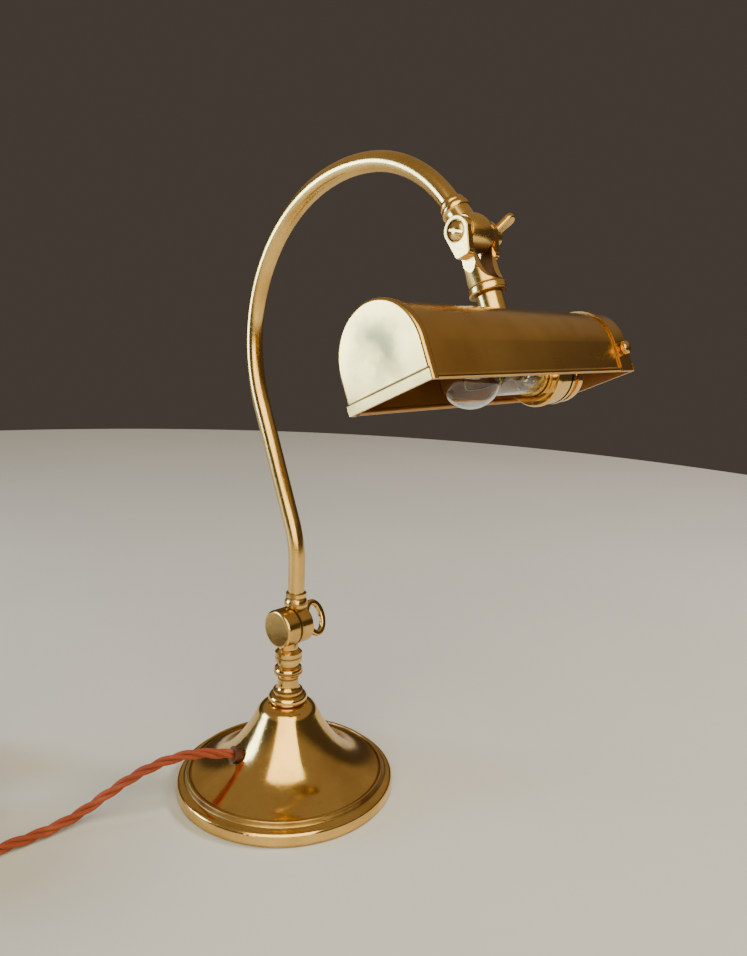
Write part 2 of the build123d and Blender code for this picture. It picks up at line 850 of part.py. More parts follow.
with BuildPart() as wing_nut:
    with BuildSketch(across(pivot + side_way * wing_seat)):
        Circle(wing_hub_radius)
    extrude(amount=wing_hub_length, taper=6)
    for way in (wing_way, wing_way * -1):
        wing_face = side_way.cross(way)
        with BuildPart(mode=Mode.PRIVATE) as wing:
            with BuildSketch(Plane(origin=pivot, x_dir=side_way, z_dir=wing_face)):
                with Locations((wing_seat + wing_hub_length / 2, wing_hub_radius / 2)):
                    Circle(wing_hub_radius / 2)
                with Locations((wing_seat + wing_flare, wing_reach)):
                    Circle(wing_thickness)
                make_hull()
            extrude(amount=wing_thickness / 2, both=True)
            wing_sides = wing.faces().sort_by(Axis(pivot, wing_face))
            fillet(wing_sides[0].edges() + wing_sides[-1].edges(), wing_round)
        add(wing.part)
    with BuildSketch(across(pivot)):
        Circle(pin_radius + fit_gap)
    extrude(amount=wing_seat + 2 * wing_hub_length, mode=Mode.SUBTRACT)
wing_nut.part.label = "wing_nut"
export_step(wing_nut.part, "parts/wing_nut.step")

# Spigot that carries the shade
with BuildPart() as spigot:
    with BuildSketch(plan(pivot - shade_up * fork_drop)):
        Circle(spigot_radius)
    extrude(amount=-(pivot_height - fork_drop - shade_side))
    with BuildSketch(across(shade_place(0, 0, shade_side))):
        Circle(shade_half + fit_gap)
    extrude(amount=2 * spigot_radius, both=True, mode=Mode.SUBTRACT)
    with BuildSketch(plan(shade_place(0, 0, shade_top - stem_length))):
        Circle(stem_radius)
    extrude(amount=pivot_height - fork_crotch - face_gap - shade_top + stem_length)
    with BuildSketch(plan(shade_place(0, 0, shade_top - stem_length))):
        Circle(stem_bore)
    extrude(amount=pivot_height, mode=Mode.SUBTRACT)
spigot.part.label = "spigot"
export_step(spigot.part, "parts/spigot.step")

nut_corner = stem_nut_flats / sqrt(3)
nut_top = shade_side + sqrt((shade_half - shade_wall) ** 2 - nut_corner**2) - fit_gap

with BuildPart() as spigot_nut:
    with BuildSketch(plan(shade_place(0, 0, nut_top - stem_nut_height))):
        RegularPolygon(stem_nut_flats / 2, 6, major_radius=False)
        Circle(stem_radius + fit_gap, mode=Mode.SUBTRACT)
    extrude(amount=stem_nut_height)
spigot_nut.part.label = "spigot_nut"
export_step(spigot_nut.part, "parts/spigot_nut.step")

# Shade
roll_start = shade_left + left_flange + swing_gap
roll_end = shade_right - right_flange - swing_gap

with BuildPart() as shade_barrel:
    with BuildSketch(across(shade_place(shade_left, 0, 0))):
        with BuildLine():
            trough_outline(shade_half, 0)
        make_face()
        with BuildLine():
            trough_outline(shade_half - shade_wall, -shade_wall)
        make_face(mode=Mode.SUBTRACT)
    extrude(amount=shade_length)
    with BuildSketch(across(shade_place(roll_start, 0, 0))):
        with Locations((shade_half - shade_wall / 2, hem_roll), (-shade_half + shade_wall / 2, hem_roll)):
            Circle(hem_roll)
    extrude(amount=roll_end - roll_start)
    with BuildSketch(plan(shade_place(0, 0, shade_side))):
        Circle(stem_radius + fit_gap)
    extrude(amount=2 * shade_half, mode=Mode.SUBTRACT)
    with BuildSketch(front(shade_place(thumb_place, 0, thumb_height))):
        Circle(thumb_radius + fit_gap)
    extrude(amount=2 * shade_half, both=True, mode=Mode.SUBTRACT)
shade_barrel.part.label = "shade_barrel"
export_step(shade_barrel.part, "parts/shade_barrel.step")

for side, shade_end, flange, cap_name in (
    (-1, shade_left, left_flange, "left_end_cap"),
    (1, shade_right, right_flange, "right_end_cap"),
):
    with BuildPart() as end_cap:
        with BuildSketch(across(shade_place(shade_end + side * cap_wall, 0, 0))):
            with BuildLine():
                trough_outline(shade_half + cap_offset, 0)
            make_face()
        extrude(amount=-side * (flange + cap_wall))
        outer_rim = end_cap.faces().sort_by(Axis.X)[0 if side < 0 else -1].edges()
        fillet(outer_rim.sort_by(Axis(opening, shade_up))[1:], cap_round)
        with BuildSketch(across(shade_place(shade_end, 0, 0))):
            with BuildLine():
                trough_outline(shade_half + fit_gap, -shade_half)
            make_face()
        extrude(amount=-side * 2 * flange, mode=Mode.SUBTRACT)
        with BuildSketch(across(shade_place(shade_end + side * cap_wall, 0, cap_hem / 2))):
            Rectangle(2 * (shade_half + cap_offset - swing_gap), cap_hem)
        extrude(amount=side * cap_hem_thickness)
        if side > 0:
            with BuildSketch(front(shade_place(thumb_place, 0, thumb_height))):
                Circle(thumb_radius + fit_gap)
            extrude(amount=2 * shade_half, both=True, mode=Mode.SUBTRACT)
    end_cap.part.label = cap_name
    export_step(end_cap.part, f"parts/{cap_name}.step")

# Carrier of the lampholder and its thumb screws
carrier_half = shade_half - shade_wall - fit_gap
carrier_foot = 2 * hem_roll + swing_gap

with BuildPart() as lamp_carrier:
    with BuildSketch(across(shade_place(carrier_place, 0, 0))):
        with BuildLine():
            trough_outline(carrier_half, carrier_foot)
        make_face()
        with Locations((0, carrier_foot)):
            Rectangle(
                2 * carrier_half,
                carrier_top - carrier_foot,
                align=(Align.CENTER, Align.MIN),
                mode=Mode.INTERSECT,
            )
        with Locations((0, lamp_height)):
            Circle(holder_radius + fit_gap, mode=Mode.SUBTRACT)
    extrude(amount=carrier_wall)
    with BuildSketch(across(shade_place(carrier_place, 0, thumb_height))):
        leg_centre = carrier_half - carrier_wall / 2
        with Locations((leg_centre, 0), (-leg_centre, 0)):
            Rectangle(carrier_wall, carrier_leg_width)
    extrude(amount=carrier_leg)
    with BuildSketch(front(shade_place(thumb_place, 0, thumb_height))):
        Circle(thumb_radius + fit_gap)
    extrude(amount=2 * shade_half, both=True, mode=Mode.SUBTRACT)
lamp_carrier.part.label = "lamp_carrier"
export_step(lamp_carrier.part, "parts/lamp_carrier.step")

thumb_centre = shade_place(thumb_place, 0, thumb_height)
thumb_tip = carrier_half - carrier_wall - thumb_nut_height - thumb_radius
knob_base = shade_half + cap_offset + face_gap
knob_top = knob_base + thumb_knob_height
knob_middle = dome_middle(thumb_knob_radius, thumb_knob_height * 0.3)

for side, thumb_name in ((-1, "front_thumb_screw"), (1, "back_thumb_screw")):
    thumb_way = shade_back * side
    with BuildPart() as thumb_screw:
        with BuildSketch(Plane(origin=thumb_centre, x_dir=side_way, z_dir=side_way.cross(thumb_way))):
            with BuildLine():
                Polyline(
                    (0, knob_top),
                    (0, thumb_tip),
                    (thumb_radius, thumb_tip),
                    (thumb_radius, knob_base),
                    (thumb_knob_radius * 0.8, knob_base),
                    (thumb_knob_radius, knob_base + thumb_knob_height * 0.2),
                    (thumb_knob_radius, knob_base + thumb_knob_height * 0.7),
                )
                ThreePointArc(
                    (thumb_knob_radius, knob_base + thumb_knob_height * 0.7),
                    (knob_middle[0], knob_base + thumb_knob_height * 0.7 + knob_middle[1]),
                    (0, knob_top),
                )
            make_face()
        revolve(axis=Axis(thumb_centre, thumb_way))
    thumb_screw.part.label = thumb_name
    export_step(thumb_screw.part, f"parts/{thumb_name}.step")

with BuildPart() as thumb_nuts:
    for side in (-1, 1):
        nut_place = thumb_centre + shade_back * side * (carrier_half - carrier_wall)
        with BuildSketch(Plane(origin=nut_place, x_dir=side_way, z_dir=shade_back * -side)):
            RegularPolygon(thumb_nut_flats / 2, 6, major_radius=False)
            Circle(thumb_radius + fit_gap, mode=Mode.SUBTRACT)
        extrude(amount=thumb_nut_height)
thumb_nuts.part.label = "thumb_nuts"
export_step(thumb_nuts.part, "parts/thumb_nuts.step")

# Lampholder, turned about the lamp's own axis
lamp_plane = front(shade_place(0, 0, lamp_height))
holder_seat = carrier_place + carrier_wall
holder_back = holder_seat + holder_rear
block_face = holder_back - block_back - block_length
contact_x = block_face - plunger_out

with BuildPart() as holder_body:
    with BuildSketch(lamp_plane):
        with BuildLine():
            Polyline(
                (carrier_place - holder_front, holder_bore),
                (carrier_place - holder_front, holder_radius),
                (holder_seat, holder_radius),
                (holder_seat, holder_flange),
                (holder_seat + holder_flange_width, holder_flange),
                (holder_seat + holder_flange_width, holder_radius),
                (holder_back, holder_radius),
                (holder_back, holder_bore),
                close=True,
            )
        make_face()
    revolve(axis=lamp_axis)
holder_body.part.label = "holder_body"
export_step(holder_body.part, "parts/holder_body.step")

with BuildPart() as holder_ring:
    with BuildSketch(lamp_plane):
        ring_front = carrier_place - holder_ring_length
        ring_lip = holder_ring_length / 4
        ring_body = holder_ring_radius - shade_wall
        with BuildLine():
            Polyline(
                (ring_front + ring_lip, holder_ring_radius),
                (ring_front + ring_lip + shade_wall, ring_body),
                (carrier_place, ring_body),
                (carrier_place, holder_radius + fit_gap),
                (ring_front, holder_radius + fit_gap),
                (ring_front, ring_body),
            )
            ThreePointArc(
                (ring_front, ring_body),
                (ring_front + ring_lip / 3, holder_ring_radius - shade_wall / 4),
                (ring_front + ring_lip, holder_ring_radius),
            )
        make_face()
    revolve(axis=lamp_axis)
holder_ring.part.label = "holder_ring"
export_step(holder_ring.part, "parts/holder_ring.step")

with BuildPart() as holder_cap:
    with BuildSketch(lamp_plane):
        cap_front = holder_back - holder_cap_overlap
        cap_back = cap_front + holder_cap_length
        boss_front = cap_back - holder_cap_overlap
        with BuildLine():
            Polyline(
                (cap_front, holder_radius + fit_gap),
                (cap_front, holder_cap_radius),
                (holder_back, holder_cap_radius),
            )
            Bezier(
                (holder_back, holder_cap_radius),
                (boss_front, holder_cap_radius),
                (boss_front, holder_boss_radius),
            )
            Polyline(
                (boss_front, holder_boss_radius),
                (cap_back, holder_boss_radius),
                (cap_back, holder_wire_hole),
                (boss_front, holder_wire_hole),
                (holder_back + fit_gap, holder_bore),
                (holder_back + fit_gap, holder_radius + fit_gap),
                (cap_front, holder_radius + fit_gap),
            )
        make_face()
    revolve(axis=lamp_axis)
holder_cap.part.label = "holder_cap"
export_step(holder_cap.part, "parts/holder_cap.step")

plunger_spots = [(-plunger_spread, lamp_height), (plunger_spread, lamp_height)]

with BuildPart() as contact_block:
    with BuildSketch(across(shade_place(block_face, 0, 0))):
        with Locations((0, lamp_height)):
            Circle(holder_bore - fit_gap)
    extrude(amount=block_length)
    with BuildSketch(across(shade_place(block_face, 0, 0))):
        with Locations(*plunger_spots):
            Circle(plunger_radius + fit_gap)
    extrude(amount=block_length / 2, mode=Mode.SUBTRACT)
contact_block.part.label = "contact_block"
export_step(contact_block.part, "parts/contact_block.step")

with BuildPart() as contact_plungers:
    with BuildSketch(across(shade_place(contact_x, 0, 0))):
        with Locations(*plunger_spots):
            Circle(plunger_radius)
    extrude(amount=plunger_out + block_length / 2)
contact_plungers.part.label = "contact_plungers"
export_step(contact_plungers.part, "parts/contact_plungers.step")

with BuildPart() as lamp_wire:
    with BuildLine(front(opening)) as wire_line:
        drop = Line((0, shade_top - stem_length / 2), (0, wire_height + wire_bend))
        elbow = JernArc(drop @ 1, drop % 1, wire_bend, 90)
        along = Line(elbow @ 1, elbow @ 1 + side_way * (wire_turn_place - wire_bend))
        back_turn = JernArc(along @ 1, along % 1, (wire_height - lamp_height) / 2, -180)
        Line(back_turn @ 1, back_turn @ 1 - side_way * (wire_turn_place - boss_front - wire_radius))
    with BuildSketch(Plane(origin=wire_line.line @ 0, z_dir=wire_line.line % 0)):
        Circle(wire_radius)
    sweep(path=wire_line.line)
lamp_wire.part.label = "lamp_wire"
export_step(lamp_wire.part, "parts/lamp_wire.step")

# Lamp
bulb_cap_back = contact_x - fit_gap
bulb_cap_front = bulb_cap_back - bulb_cap_length
glass_end = bulb_cap_front + bulb_neck_depth
neck_sine = sin(radians(bulb_neck_angle))
neck_cosine = cos(radians(bulb_neck_angle))


def bulb_outline(ball, neck):
    """Half outline of the bulb from its tip to the end of its neck, for a ball and neck of these radii."""
    leave = (bulb_centre + ball * neck_sine, ball * neck_cosine)
    drop_length = (ball * neck_cosine - neck) / neck_sine
    bend = (leave[0] + drop_length * neck_cosine, neck)
    side_point = (bulb_centre - ball * sin(pi / 4), ball * cos(pi / 4))
    ThreePointArc((bulb_centre - ball, 0), side_point, (bulb_centre, ball))
    TangentArc((bulb_centre, ball), leave, tangent=(1, 0))
    Bezier(leave, bend, (bend[0] + 2 * drop_length, neck))
    Line((bend[0] + 2 * drop_length, neck), (glass_end, neck))


with BuildPart() as bulb_glass:
    with BuildSketch(lamp_plane):
        with BuildLine():
            bulb_outline(bulb_radius, bulb_neck_radius)
            Line((glass_end, bulb_neck_radius), (glass_end, bulb_neck_radius - bulb_glass_wall))
            bulb_outline(bulb_radius - bulb_glass_wall, bulb_neck_radius - bulb_glass_wall)
            Line((bulb_centre - bulb_radius, 0), (bulb_centre - bulb_radius + bulb_glass_wall, 0))
        make_face()
    revolve(axis=lamp_axis)
bulb_glass.part.label = "bulb_glass"
export_step(bulb_glass.part, "parts/bulb_glass.step")

with BuildPart() as bulb_cap:
    with BuildSketch(lamp_plane):
        cap_bore = bulb_neck_radius + fit_gap
        with BuildLine():
            Polyline(
                (bulb_cap_front, cap_bore),
                (bulb_cap_front, bulb_cap_radius),
                (bulb_cap_back - bulb_cap_wall, bulb_cap_radius),
                (bulb_cap_back, bulb_cap_radius - bulb_cap_wall),
                (bulb_cap_back, 0),
                (glass_end + bulb_neck_depth, 0),
                (glass_end + fit_gap, cap_bore),
                close=True,
            )
        make_face()
    revolve(axis=lamp_axis)
    with BuildSketch(plan(shade_place(bulb_cap_back - bayonet_setback, 0, lamp_height))):
        Circle(bayonet_radius)
    extrude(amount=holder_bore - fit_gap, both=True)
bulb_cap.part.label = "bulb_cap"
export_step(bulb_cap.part, "parts/bulb_cap.step")

with BuildPart() as lamp_stem:
    with BuildSketch(lamp_plane):
        flare = bulb_neck_radius - bulb_glass_wall - fit_gap
        stem_front = glass_end - lamp_stem_length
        with BuildLine():
            Polyline((stem_front, 0), (glass_end, 0), (glass_end, flare), (glass_end - bulb_glass_wall, flare))
            Bezier(
                (glass_end - bulb_glass_wall, flare),
                (glass_end - flare, lamp_stem_radius),
                (glass_end - 2 * flare, lamp_stem_radius),
            )
            Polyline(
                (glass_end - 2 * flare, lamp_stem_radius),
                (stem_front + lamp_stem_radius, lamp_stem_radius),
                (stem_front, 0),
            )
        make_face()
    revolve(axis=lamp_axis)
lamp_stem.part.label = "lamp_stem"
export_step(lamp_stem.part, "parts/lamp_stem.step")

with BuildPart() as filament:
    with BuildLine(lamp_plane) as filament_line:
        feet = (stem_front + 2 * lamp_stem_radius, lamp_stem_radius + filament_wire + fit_gap)
        FilletPolyline(
            feet,
            (bulb_centre + filament_radius, filament_radius),
            (bulb_centre - filament_radius, filament_radius),
            (bulb_centre - filament_radius, -filament_radius),
            (bulb_centre + filament_radius, -filament_radius),
            (feet[0], -feet[1]),
            radius=filament_radius / 3,
        )
    with BuildSketch(Plane(origin=filament_line.line @ 0, z_dir=filament_line.line % 0)):
        Circle(filament_wire)
    sweep(path=filament_line.line)
filament.part.label = "filament"
export_step(filament.part, "parts/filament.step")

# Cord bush and the flex inside the base
with BuildPart() as cord_bush:
    with BuildSketch(Plane(origin=exit_point - exit_way * bush_depth, z_dir=exit_way)):
        Circle(bush_radius)
    extrude(amount=bush_depth + bush_out)
    with BuildSketch(Plane(origin=exit_point + exit_way * (bush_out - bush_lip), z_dir=exit_way)):
        Circle(bush_lip_radius)
    extrude(amount=bush_lip)
    with BuildSketch(Plane(origin=exit_point, z_dir=exit_way)):
        Circle(cord_radius + fit_gap)
    extrude(amount=2 * bush_depth, both=True, mode=Mode.SUBTRACT)
cord_bush.part.label = "cord_bush"
export_step(cord_bush.part, "parts/cord_bush.step")

flex_end = nipple_radius + swing_gap + cord_radius * sin(radians(exit_rise))
flex_inside = (exit_radius - flex_end) / cos(radians(exit_rise))
mouth = exit_point + exit_way * bush_out

with BuildPart() as base_flex:
    with BuildSketch(Plane(origin=mouth, z_dir=exit_way * -1)):
        Circle(cord_radius)
    extrude(amount=flex_inside + bush_out)
base_flex.part.label = "base_flex"
export_step(base_flex.part, "parts/base_flex.step")


# Coil: it spirals in and out by turns and climbs one layer in each half turn where it reverses
def coil_point(turns):
    """Centre of the wound cord after this many turns."""
    span = coil_layer_turns + coil_climb_turns
    layer = min(int(turns / span), coil_layers - 1)
    along = turns - layer * span
    wound = min(along, coil_layer_turns)
    climb = max(along - coil_layer_turns, 0) / coil_climb_turns
    inward = coil_layer_turns - wound if layer % 2 == 0 else wound
    radius = coil_inner_radius + coil_pitch * inward
    height = coil_floor + coil_layer * (layer + (1 - cos(pi * climb)) / 2)
    angle = radians(coil_start_angle) - 2 * pi * turns
    return Vector(coil_centre[0] + radius * cos(angle), coil_centre[1] + radius * sin(angle), height)


def coil_heading(turns):
    """Direction of the wound cord after this many turns, averaged where the spiral changes."""
    step = 0.02
    if turns <= step or turns >= coil_turns - step:
        angle = radians(coil_start_angle) - 2 * pi * turns
        return Vector(sin(angle), -cos(angle), 0)
    return (coil_point(turns + step) - coil_point(turns - step)).normalized()


def biarc(start, start_way, end, end_way):
    """Two arcs that join two points and are tangent to the given directions and to each other."""
    chord = end - start
    both = start_way + end_way
    bend = 2 * (1 - start_way.dot(end_way))
    reach = chord.dot(both)
    arm = (sqrt(reach**2 + bend * chord.dot(chord)) - reach) / bend
    first = start + start_way * arm
    second = end - end_way * arm
    middle = (first + second) * 0.5
    TangentArc(start, middle, tangent=start_way)
    TangentArc(middle, end, tangent=second - first)


coil_turns = (coil_layers - 1) * (coil_layer_turns + coil_climb_turns) + coil_last_turns
coil_stops = round(coil_turns * coil_samples_per_turn)

with BuildPart() as cord_coil:
    with BuildLine() as coil_line:
        for stop in range(coil_stops):
            here = stop / coil_samples_per_turn
            there = (stop + 1) / coil_samples_per_turn
            biarc(coil_point(here), coil_heading(here), coil_point(there), coil_heading(there))
    with BuildSketch(Plane(origin=coil_line.line @ 0, z_dir=coil_line.line % 0)):
        Circle(cord_radius)
    sweep(path=coil_line.line)
cord_coil.part.label = "cord_coil"
export_step(cord_coil.part, "parts/cord_coil.step")

probe_count = round(coil_turns * 48)
coil_wire = coil_line.wire()
probes = [coil_wire.position_at(i / probe_count) for i in range(probe_count + 1)]
skip = 24
coil_gap = min(
    (probes[j] - probes[i]).length - 2 * cord_radius
    for i in range(len(probes))
    for j in range(i + skip, len(probes))
)
print("coil length", coil_wire.length, "least gap of the coil to itself", coil_gap)

tie_low = coil_inner_radius - cord_radius - tie_gap
tie_high = coil_inner_radius + coil_pitch * coil_layer_turns + cord_radius + tie_gap
tie_floor = coil_floor - cord_radius - tie_gap
tie_top = coil_floor + coil_layer * (coil_layers - 1) + cord_radius + tie_gap
tie_turn = radians(tie_angle)
tie_plane = Plane(
    origin=(coil_centre[0], coil_centre[1], 0),
    x_dir=(cos(tie_turn), sin(tie_turn), 0),
    z_dir=(sin(tie_turn), -cos(tie_turn), 0),
)

with BuildPart() as coil_tie:
    with BuildSketch(tie_plane):
        with Locations(((tie_low + tie_high) / 2, (tie_floor + tie_top) / 2)):
            RectangleRounded(tie_high - tie_low + 2 * tie_wall, tie_top - tie_floor + 2 * tie_wall, cord_radius)
            RectangleRounded(
                tie_high - tie_low, tie_top - tie_floor, cord_radius - tie_wall, mode=Mode.SUBTRACT
            )
    extrude(amount=tie_width / 2, both=True)
coil_tie.part.label = "coil_tie"
export_step(coil_tie.part, "parts/coil_tie.step")


def cord_radii(points):
    """The largest bend that each corner of a route has room for."""
    radii = []
    for before, corner, after in zip(points, points[1:], points[2:]):
        arriving = corner - before
        leaving = after - corner
        shorter = min(arriving.length, leaving.length)
        radii.append(0.45 * shorter / tan(radians(arriving.get_angle(leaving) / 2)))
    return radii


coil_start = coil_point(0)
coil_end = coil_point(coil_turns)
lead_route = [mouth, mouth + exit_way * lead_run] + [Vector(*point) for point in cord_points]
lead_route += [coil_start + Vector(entry_run, 0, 0), coil_start]
tail_route = [coil_end] + [coil_end + Vector(*tail_step) for tail_step in tail_steps]

for cord_name, route in (("cord_lead", lead_route), ("cord_tail", tail_route)):
    radii = cord_radii(route)
    with BuildPart() as cord:
        with BuildLine() as cord_line:
            FilletPolyline(*route, radius=radii)
        with BuildSketch(Plane(origin=cord_line.line @ 0, z_dir=cord_line.line % 0)):
            Circle(cord_radius)
        sweep(path=cord_line.line)
    cord.part.label = cord_name
    export_step(cord.part, f"parts/{cord_name}.step")
    cord_length = cord_line.wire().length
    expected = pi * cord_radius**2 * cord_length
    print(cord_name, "length", cord_length, "volume to expected", cord.part.volume / expected)
    print(cord_name, "bend radii", [round(radius, 1) for radius in radii])

# Plug, lying on its back with its pins up
plug_entry = tail_route[-1]
plug_middle = (plug_entry.X + plug_length / 2, plug_entry.Y)
pin_row = plug_entry.X + pin_setback
plug_face = plug_cover_height + plug_base_height

with BuildPart() as plug_cover:
    with BuildSketch():
        with Locations(plug_middle):
            RectangleRounded(plug_length, plug_width, plug_corner)
    extrude(amount=plug_cover_height)
    fillet(plug_cover.faces().sort_by(Axis.Z)[0].edges(), plug_round)
plug_cover.part.label = "plug_cover"
export_step(plug_cover.part, "parts/plug_cover.step")

with BuildPart() as plug_sleeve:
    with BuildSketch(Plane(origin=plug_entry, x_dir=side_way, z_dir=side_way.cross(Vector(0, 0, 1)))):
        with BuildLine():
            Polyline(
                (0, cord_radius + fit_gap),
                (0, sleeve_radius),
                (-sleeve_length + fit_gap, sleeve_tip_radius),
                (-sleeve_length, cord_radius + fit_gap),
                close=True,
            )
        make_face()
    revolve(axis=Axis(plug_entry, side_way))
plug_sleeve.part.label = "plug_sleeve"
export_step(plug_sleeve.part, "parts/plug_sleeve.step")

with BuildPart() as plug_base:
    with BuildSketch(Plane.XY.offset(plug_cover_height)):
        with Locations(plug_middle):
            RectangleRounded(plug_length, plug_width, plug_corner)
    extrude(amount=plug_base_height)
    chamfer(plug_base.faces().sort_by(Axis.Z)[-1].edges(), plug_round / 2)
    with BuildSketch(Plane.XY.offset(plug_face)):
        with Locations((pin_row + pin_spacing / 2, plug_middle[1])):
            Circle(plug_screw_radius + fit_gap)
    extrude(amount=-plug_screw_depth, mode=Mode.SUBTRACT)
plug_base.part.label = "plug_base"
export_step(plug_base.part, "parts/plug_base.step")

with BuildPart() as plug_pins:
    pin_half = pin_spacing / 2
    pin_places = [
        (pin_row, plug_middle[1] - pin_half, line_pin),
        (pin_row, plug_middle[1] + pin_half, line_pin),
        (pin_row + pin_spacing, plug_middle[1], earth_pin),
    ]
    for pin_x, pin_y, pin_size in pin_places:
        with BuildSketch(Plane.XY.offset(plug_face)):
            with Locations((pin_x, pin_y)):
                Rectangle(pin_size[1], pin_size[0])
        extrude(amount=pin_size[2])
    pin_tips = plug_pins.faces().filter_by(Axis.Z).filter_by(lambda face: face.center().Z > plug_face + 1)
    chamfer(pin_tips.edges(), line_pin[1] / 5)
plug_pins.part.label = "plug_pins"
export_step(plug_pins.part, "parts/plug_pins.step")

with BuildPart() as plug_screw:
    with BuildSketch(Plane.XY.offset(plug_face - plug_screw_depth)):
        with Locations((pin_row + pin_spacing / 2, plug_middle[1])):
            Circle(plug_screw_radius)
    extrude(amount=plug_screw_depth * 0.8)
    with BuildSketch(Plane.XY.offset(plug_face - plug_screw_depth * 0.2)):
        with Locations((pin_row + pin_spacing / 2, plug_middle[1])):
            Rectangle(2 * plug_screw_radius, screw_slot, rotation=60)
    extrude(amount=-plug_screw_depth * 0.4, mode=Mode.SUBTRACT)
plug_screw.part.label = "plug_screw"
export_step(plug_screw.part, "parts/plug_screw.step")
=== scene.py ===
"""Aged brass swing arm desk lamp: its finishes, its flex and its small fittings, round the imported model."""
import json
import math

import bpy
from bpy.props import FloatProperty, FloatVectorProperty, PointerProperty
from mathutils import Matrix, Vector

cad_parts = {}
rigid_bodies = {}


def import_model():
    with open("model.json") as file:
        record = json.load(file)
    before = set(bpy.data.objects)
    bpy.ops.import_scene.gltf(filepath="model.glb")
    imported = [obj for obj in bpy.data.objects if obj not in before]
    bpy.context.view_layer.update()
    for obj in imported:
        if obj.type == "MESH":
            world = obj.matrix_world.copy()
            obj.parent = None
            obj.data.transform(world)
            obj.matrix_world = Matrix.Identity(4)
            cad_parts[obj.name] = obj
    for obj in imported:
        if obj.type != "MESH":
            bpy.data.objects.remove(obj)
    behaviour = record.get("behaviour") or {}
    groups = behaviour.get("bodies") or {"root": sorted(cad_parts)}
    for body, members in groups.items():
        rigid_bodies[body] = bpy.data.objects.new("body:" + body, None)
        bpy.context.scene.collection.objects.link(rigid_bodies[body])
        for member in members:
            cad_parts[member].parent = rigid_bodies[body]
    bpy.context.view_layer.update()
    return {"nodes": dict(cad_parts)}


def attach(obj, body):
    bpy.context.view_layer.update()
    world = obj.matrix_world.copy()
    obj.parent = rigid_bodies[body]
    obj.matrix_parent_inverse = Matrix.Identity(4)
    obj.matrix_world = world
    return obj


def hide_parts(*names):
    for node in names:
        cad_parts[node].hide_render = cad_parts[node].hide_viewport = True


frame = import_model()
nodes = frame["nodes"]

bl_info = {
    "name": "Swing arm desk lamp",
    "version": (1, 0, 0),
    "blender": (4, 5, 0),
    "location": "View3D > Sidebar > Lamp",
    "description": "Dresses the brass desk lamp with its finishes, flex and fittings",
    "category": "Object",
}

MM = 0.001

# The shade's own directions, the point of its opening under the spigot, and its sheet, in metres
SHADE_OPENING = Vector((5.8, -160.895, 293.506)) * MM
SHADE_TILT = math.radians(25.25)
SHADE_UP = Vector((0, math.sin(SHADE_TILT), math.cos(SHADE_TILT)))
SHADE_BACK = Vector((0, math.cos(SHADE_TILT), -math.sin(SHADE_TILT)))
SIDE = Vector((1, 0, 0))
SHADE_SIDE = 16.75 * MM
SHADE_MID_WALL = 23.7 * MM
SHADE_MIDDLE = -5.7 * MM
SHADE_CAP_MID_WALL = 87.15 * MM
SHADE_HEM = 4.5 * MM
UPPER_PIVOT = Vector((5.8, -125.831, 367.853)) * MM

# The two thumb screws: where their axes meet, how far out the shank's tip and the knob's seat are, and the
# forms of the knob, whose dome's steps are each an inset and a rise; a larger face than the last is an end
THUMB_CENTRE = Vector((80.25, -155.563, 304.812)) * MM
THUMB_TIP = 17.9 * MM
THUMB_SHANK = 1.6 * MM
THUMB_SEAT = 25.3 * MM
THUMB_RADIUS = 3.4 * MM
THUMB_KNURLS = 18
THUMB_KNURL_HEIGHT = 0.22 * MM
THUMB_KNOB_DEPTH = 2.2 * MM
THUMB_KNOB_MIDDLE = 2.0 * MM
THUMB_DOME = ((0.55 * MM, 0.55 * MM), (0.8 * MM, 0.42 * MM), (1.0 * MM, 0.22 * MM))
THUMB_FOOT_STEP = 0.6 * MM
THUMB_FOOT_DEPTH = 0.9 * MM
THUMB_END_AREA = 1e-5

# The flex's route, in millimetres: out of the bell, down to the table and along to the coil, then from the
# coil to the plug, and the coil's own layers and turns
FLEX_MOUTH = (-38.582, 11.063, 32.282)
FLEX_LEAD = [
    FLEX_MOUTH,
    (-56.648, 16.243, 39.123),
    (-75.0, 26.0, 38.4),
    (-93.0, 37.0, 30.0),
    (-110.0, 45.5, 18.5),
    (-127.0, 51.0, 8.5),
    (-146.0, 54.5, 4.2),
    (-170.0, 57.5, 4.2),
    (-190.0, 59.0, 5.0),
]
FLEX_TAIL = [
    (-257.8, 129.0, 27.5),
    (-257.3, 149.0, 20.0),
    (-247.3, 172.0, 14.5),
    (-225.3, 183.0, 14.0),
    (-193.3, 183.0, 14.0),
]
COIL_CENTRE = (-216.0, 103.0)
COIL_INNER_RADIUS = 33.0
COIL_PITCH = 8.8
COIL_LAYER = 7.5
COIL_LAYERS = 4
COIL_LAYER_TURNS = 1.25
COIL_CLIMB_TURNS = 0.5
COIL_TURNS = 6.25
COIL_FLOOR = 5.0
COIL_POINTS_PER_TURN = 24

# The strap round the coil, in millimetres: from the coil's middle, above the table, its width along the
# turns, its loose end's length, width and thickness with its shift outwards and up, and the threads of its
# weave in radians to the metre
TIE_REACH = (28.1, 48.9)
TIE_RISE = (0.1, 32.4)
TIE_WIDTH = 6.0
TIE_WALL = 0.9
TIE_CORNER = 3.5
TIE_ANGLE = math.radians(20.0)
TIE_FLAP = (10.0, 5.4, 0.8)
TIE_FLAP_SHIFT = (1.5, 0.35)
TIE_WARP = 9000.0
TIE_WEFT = 6500.0

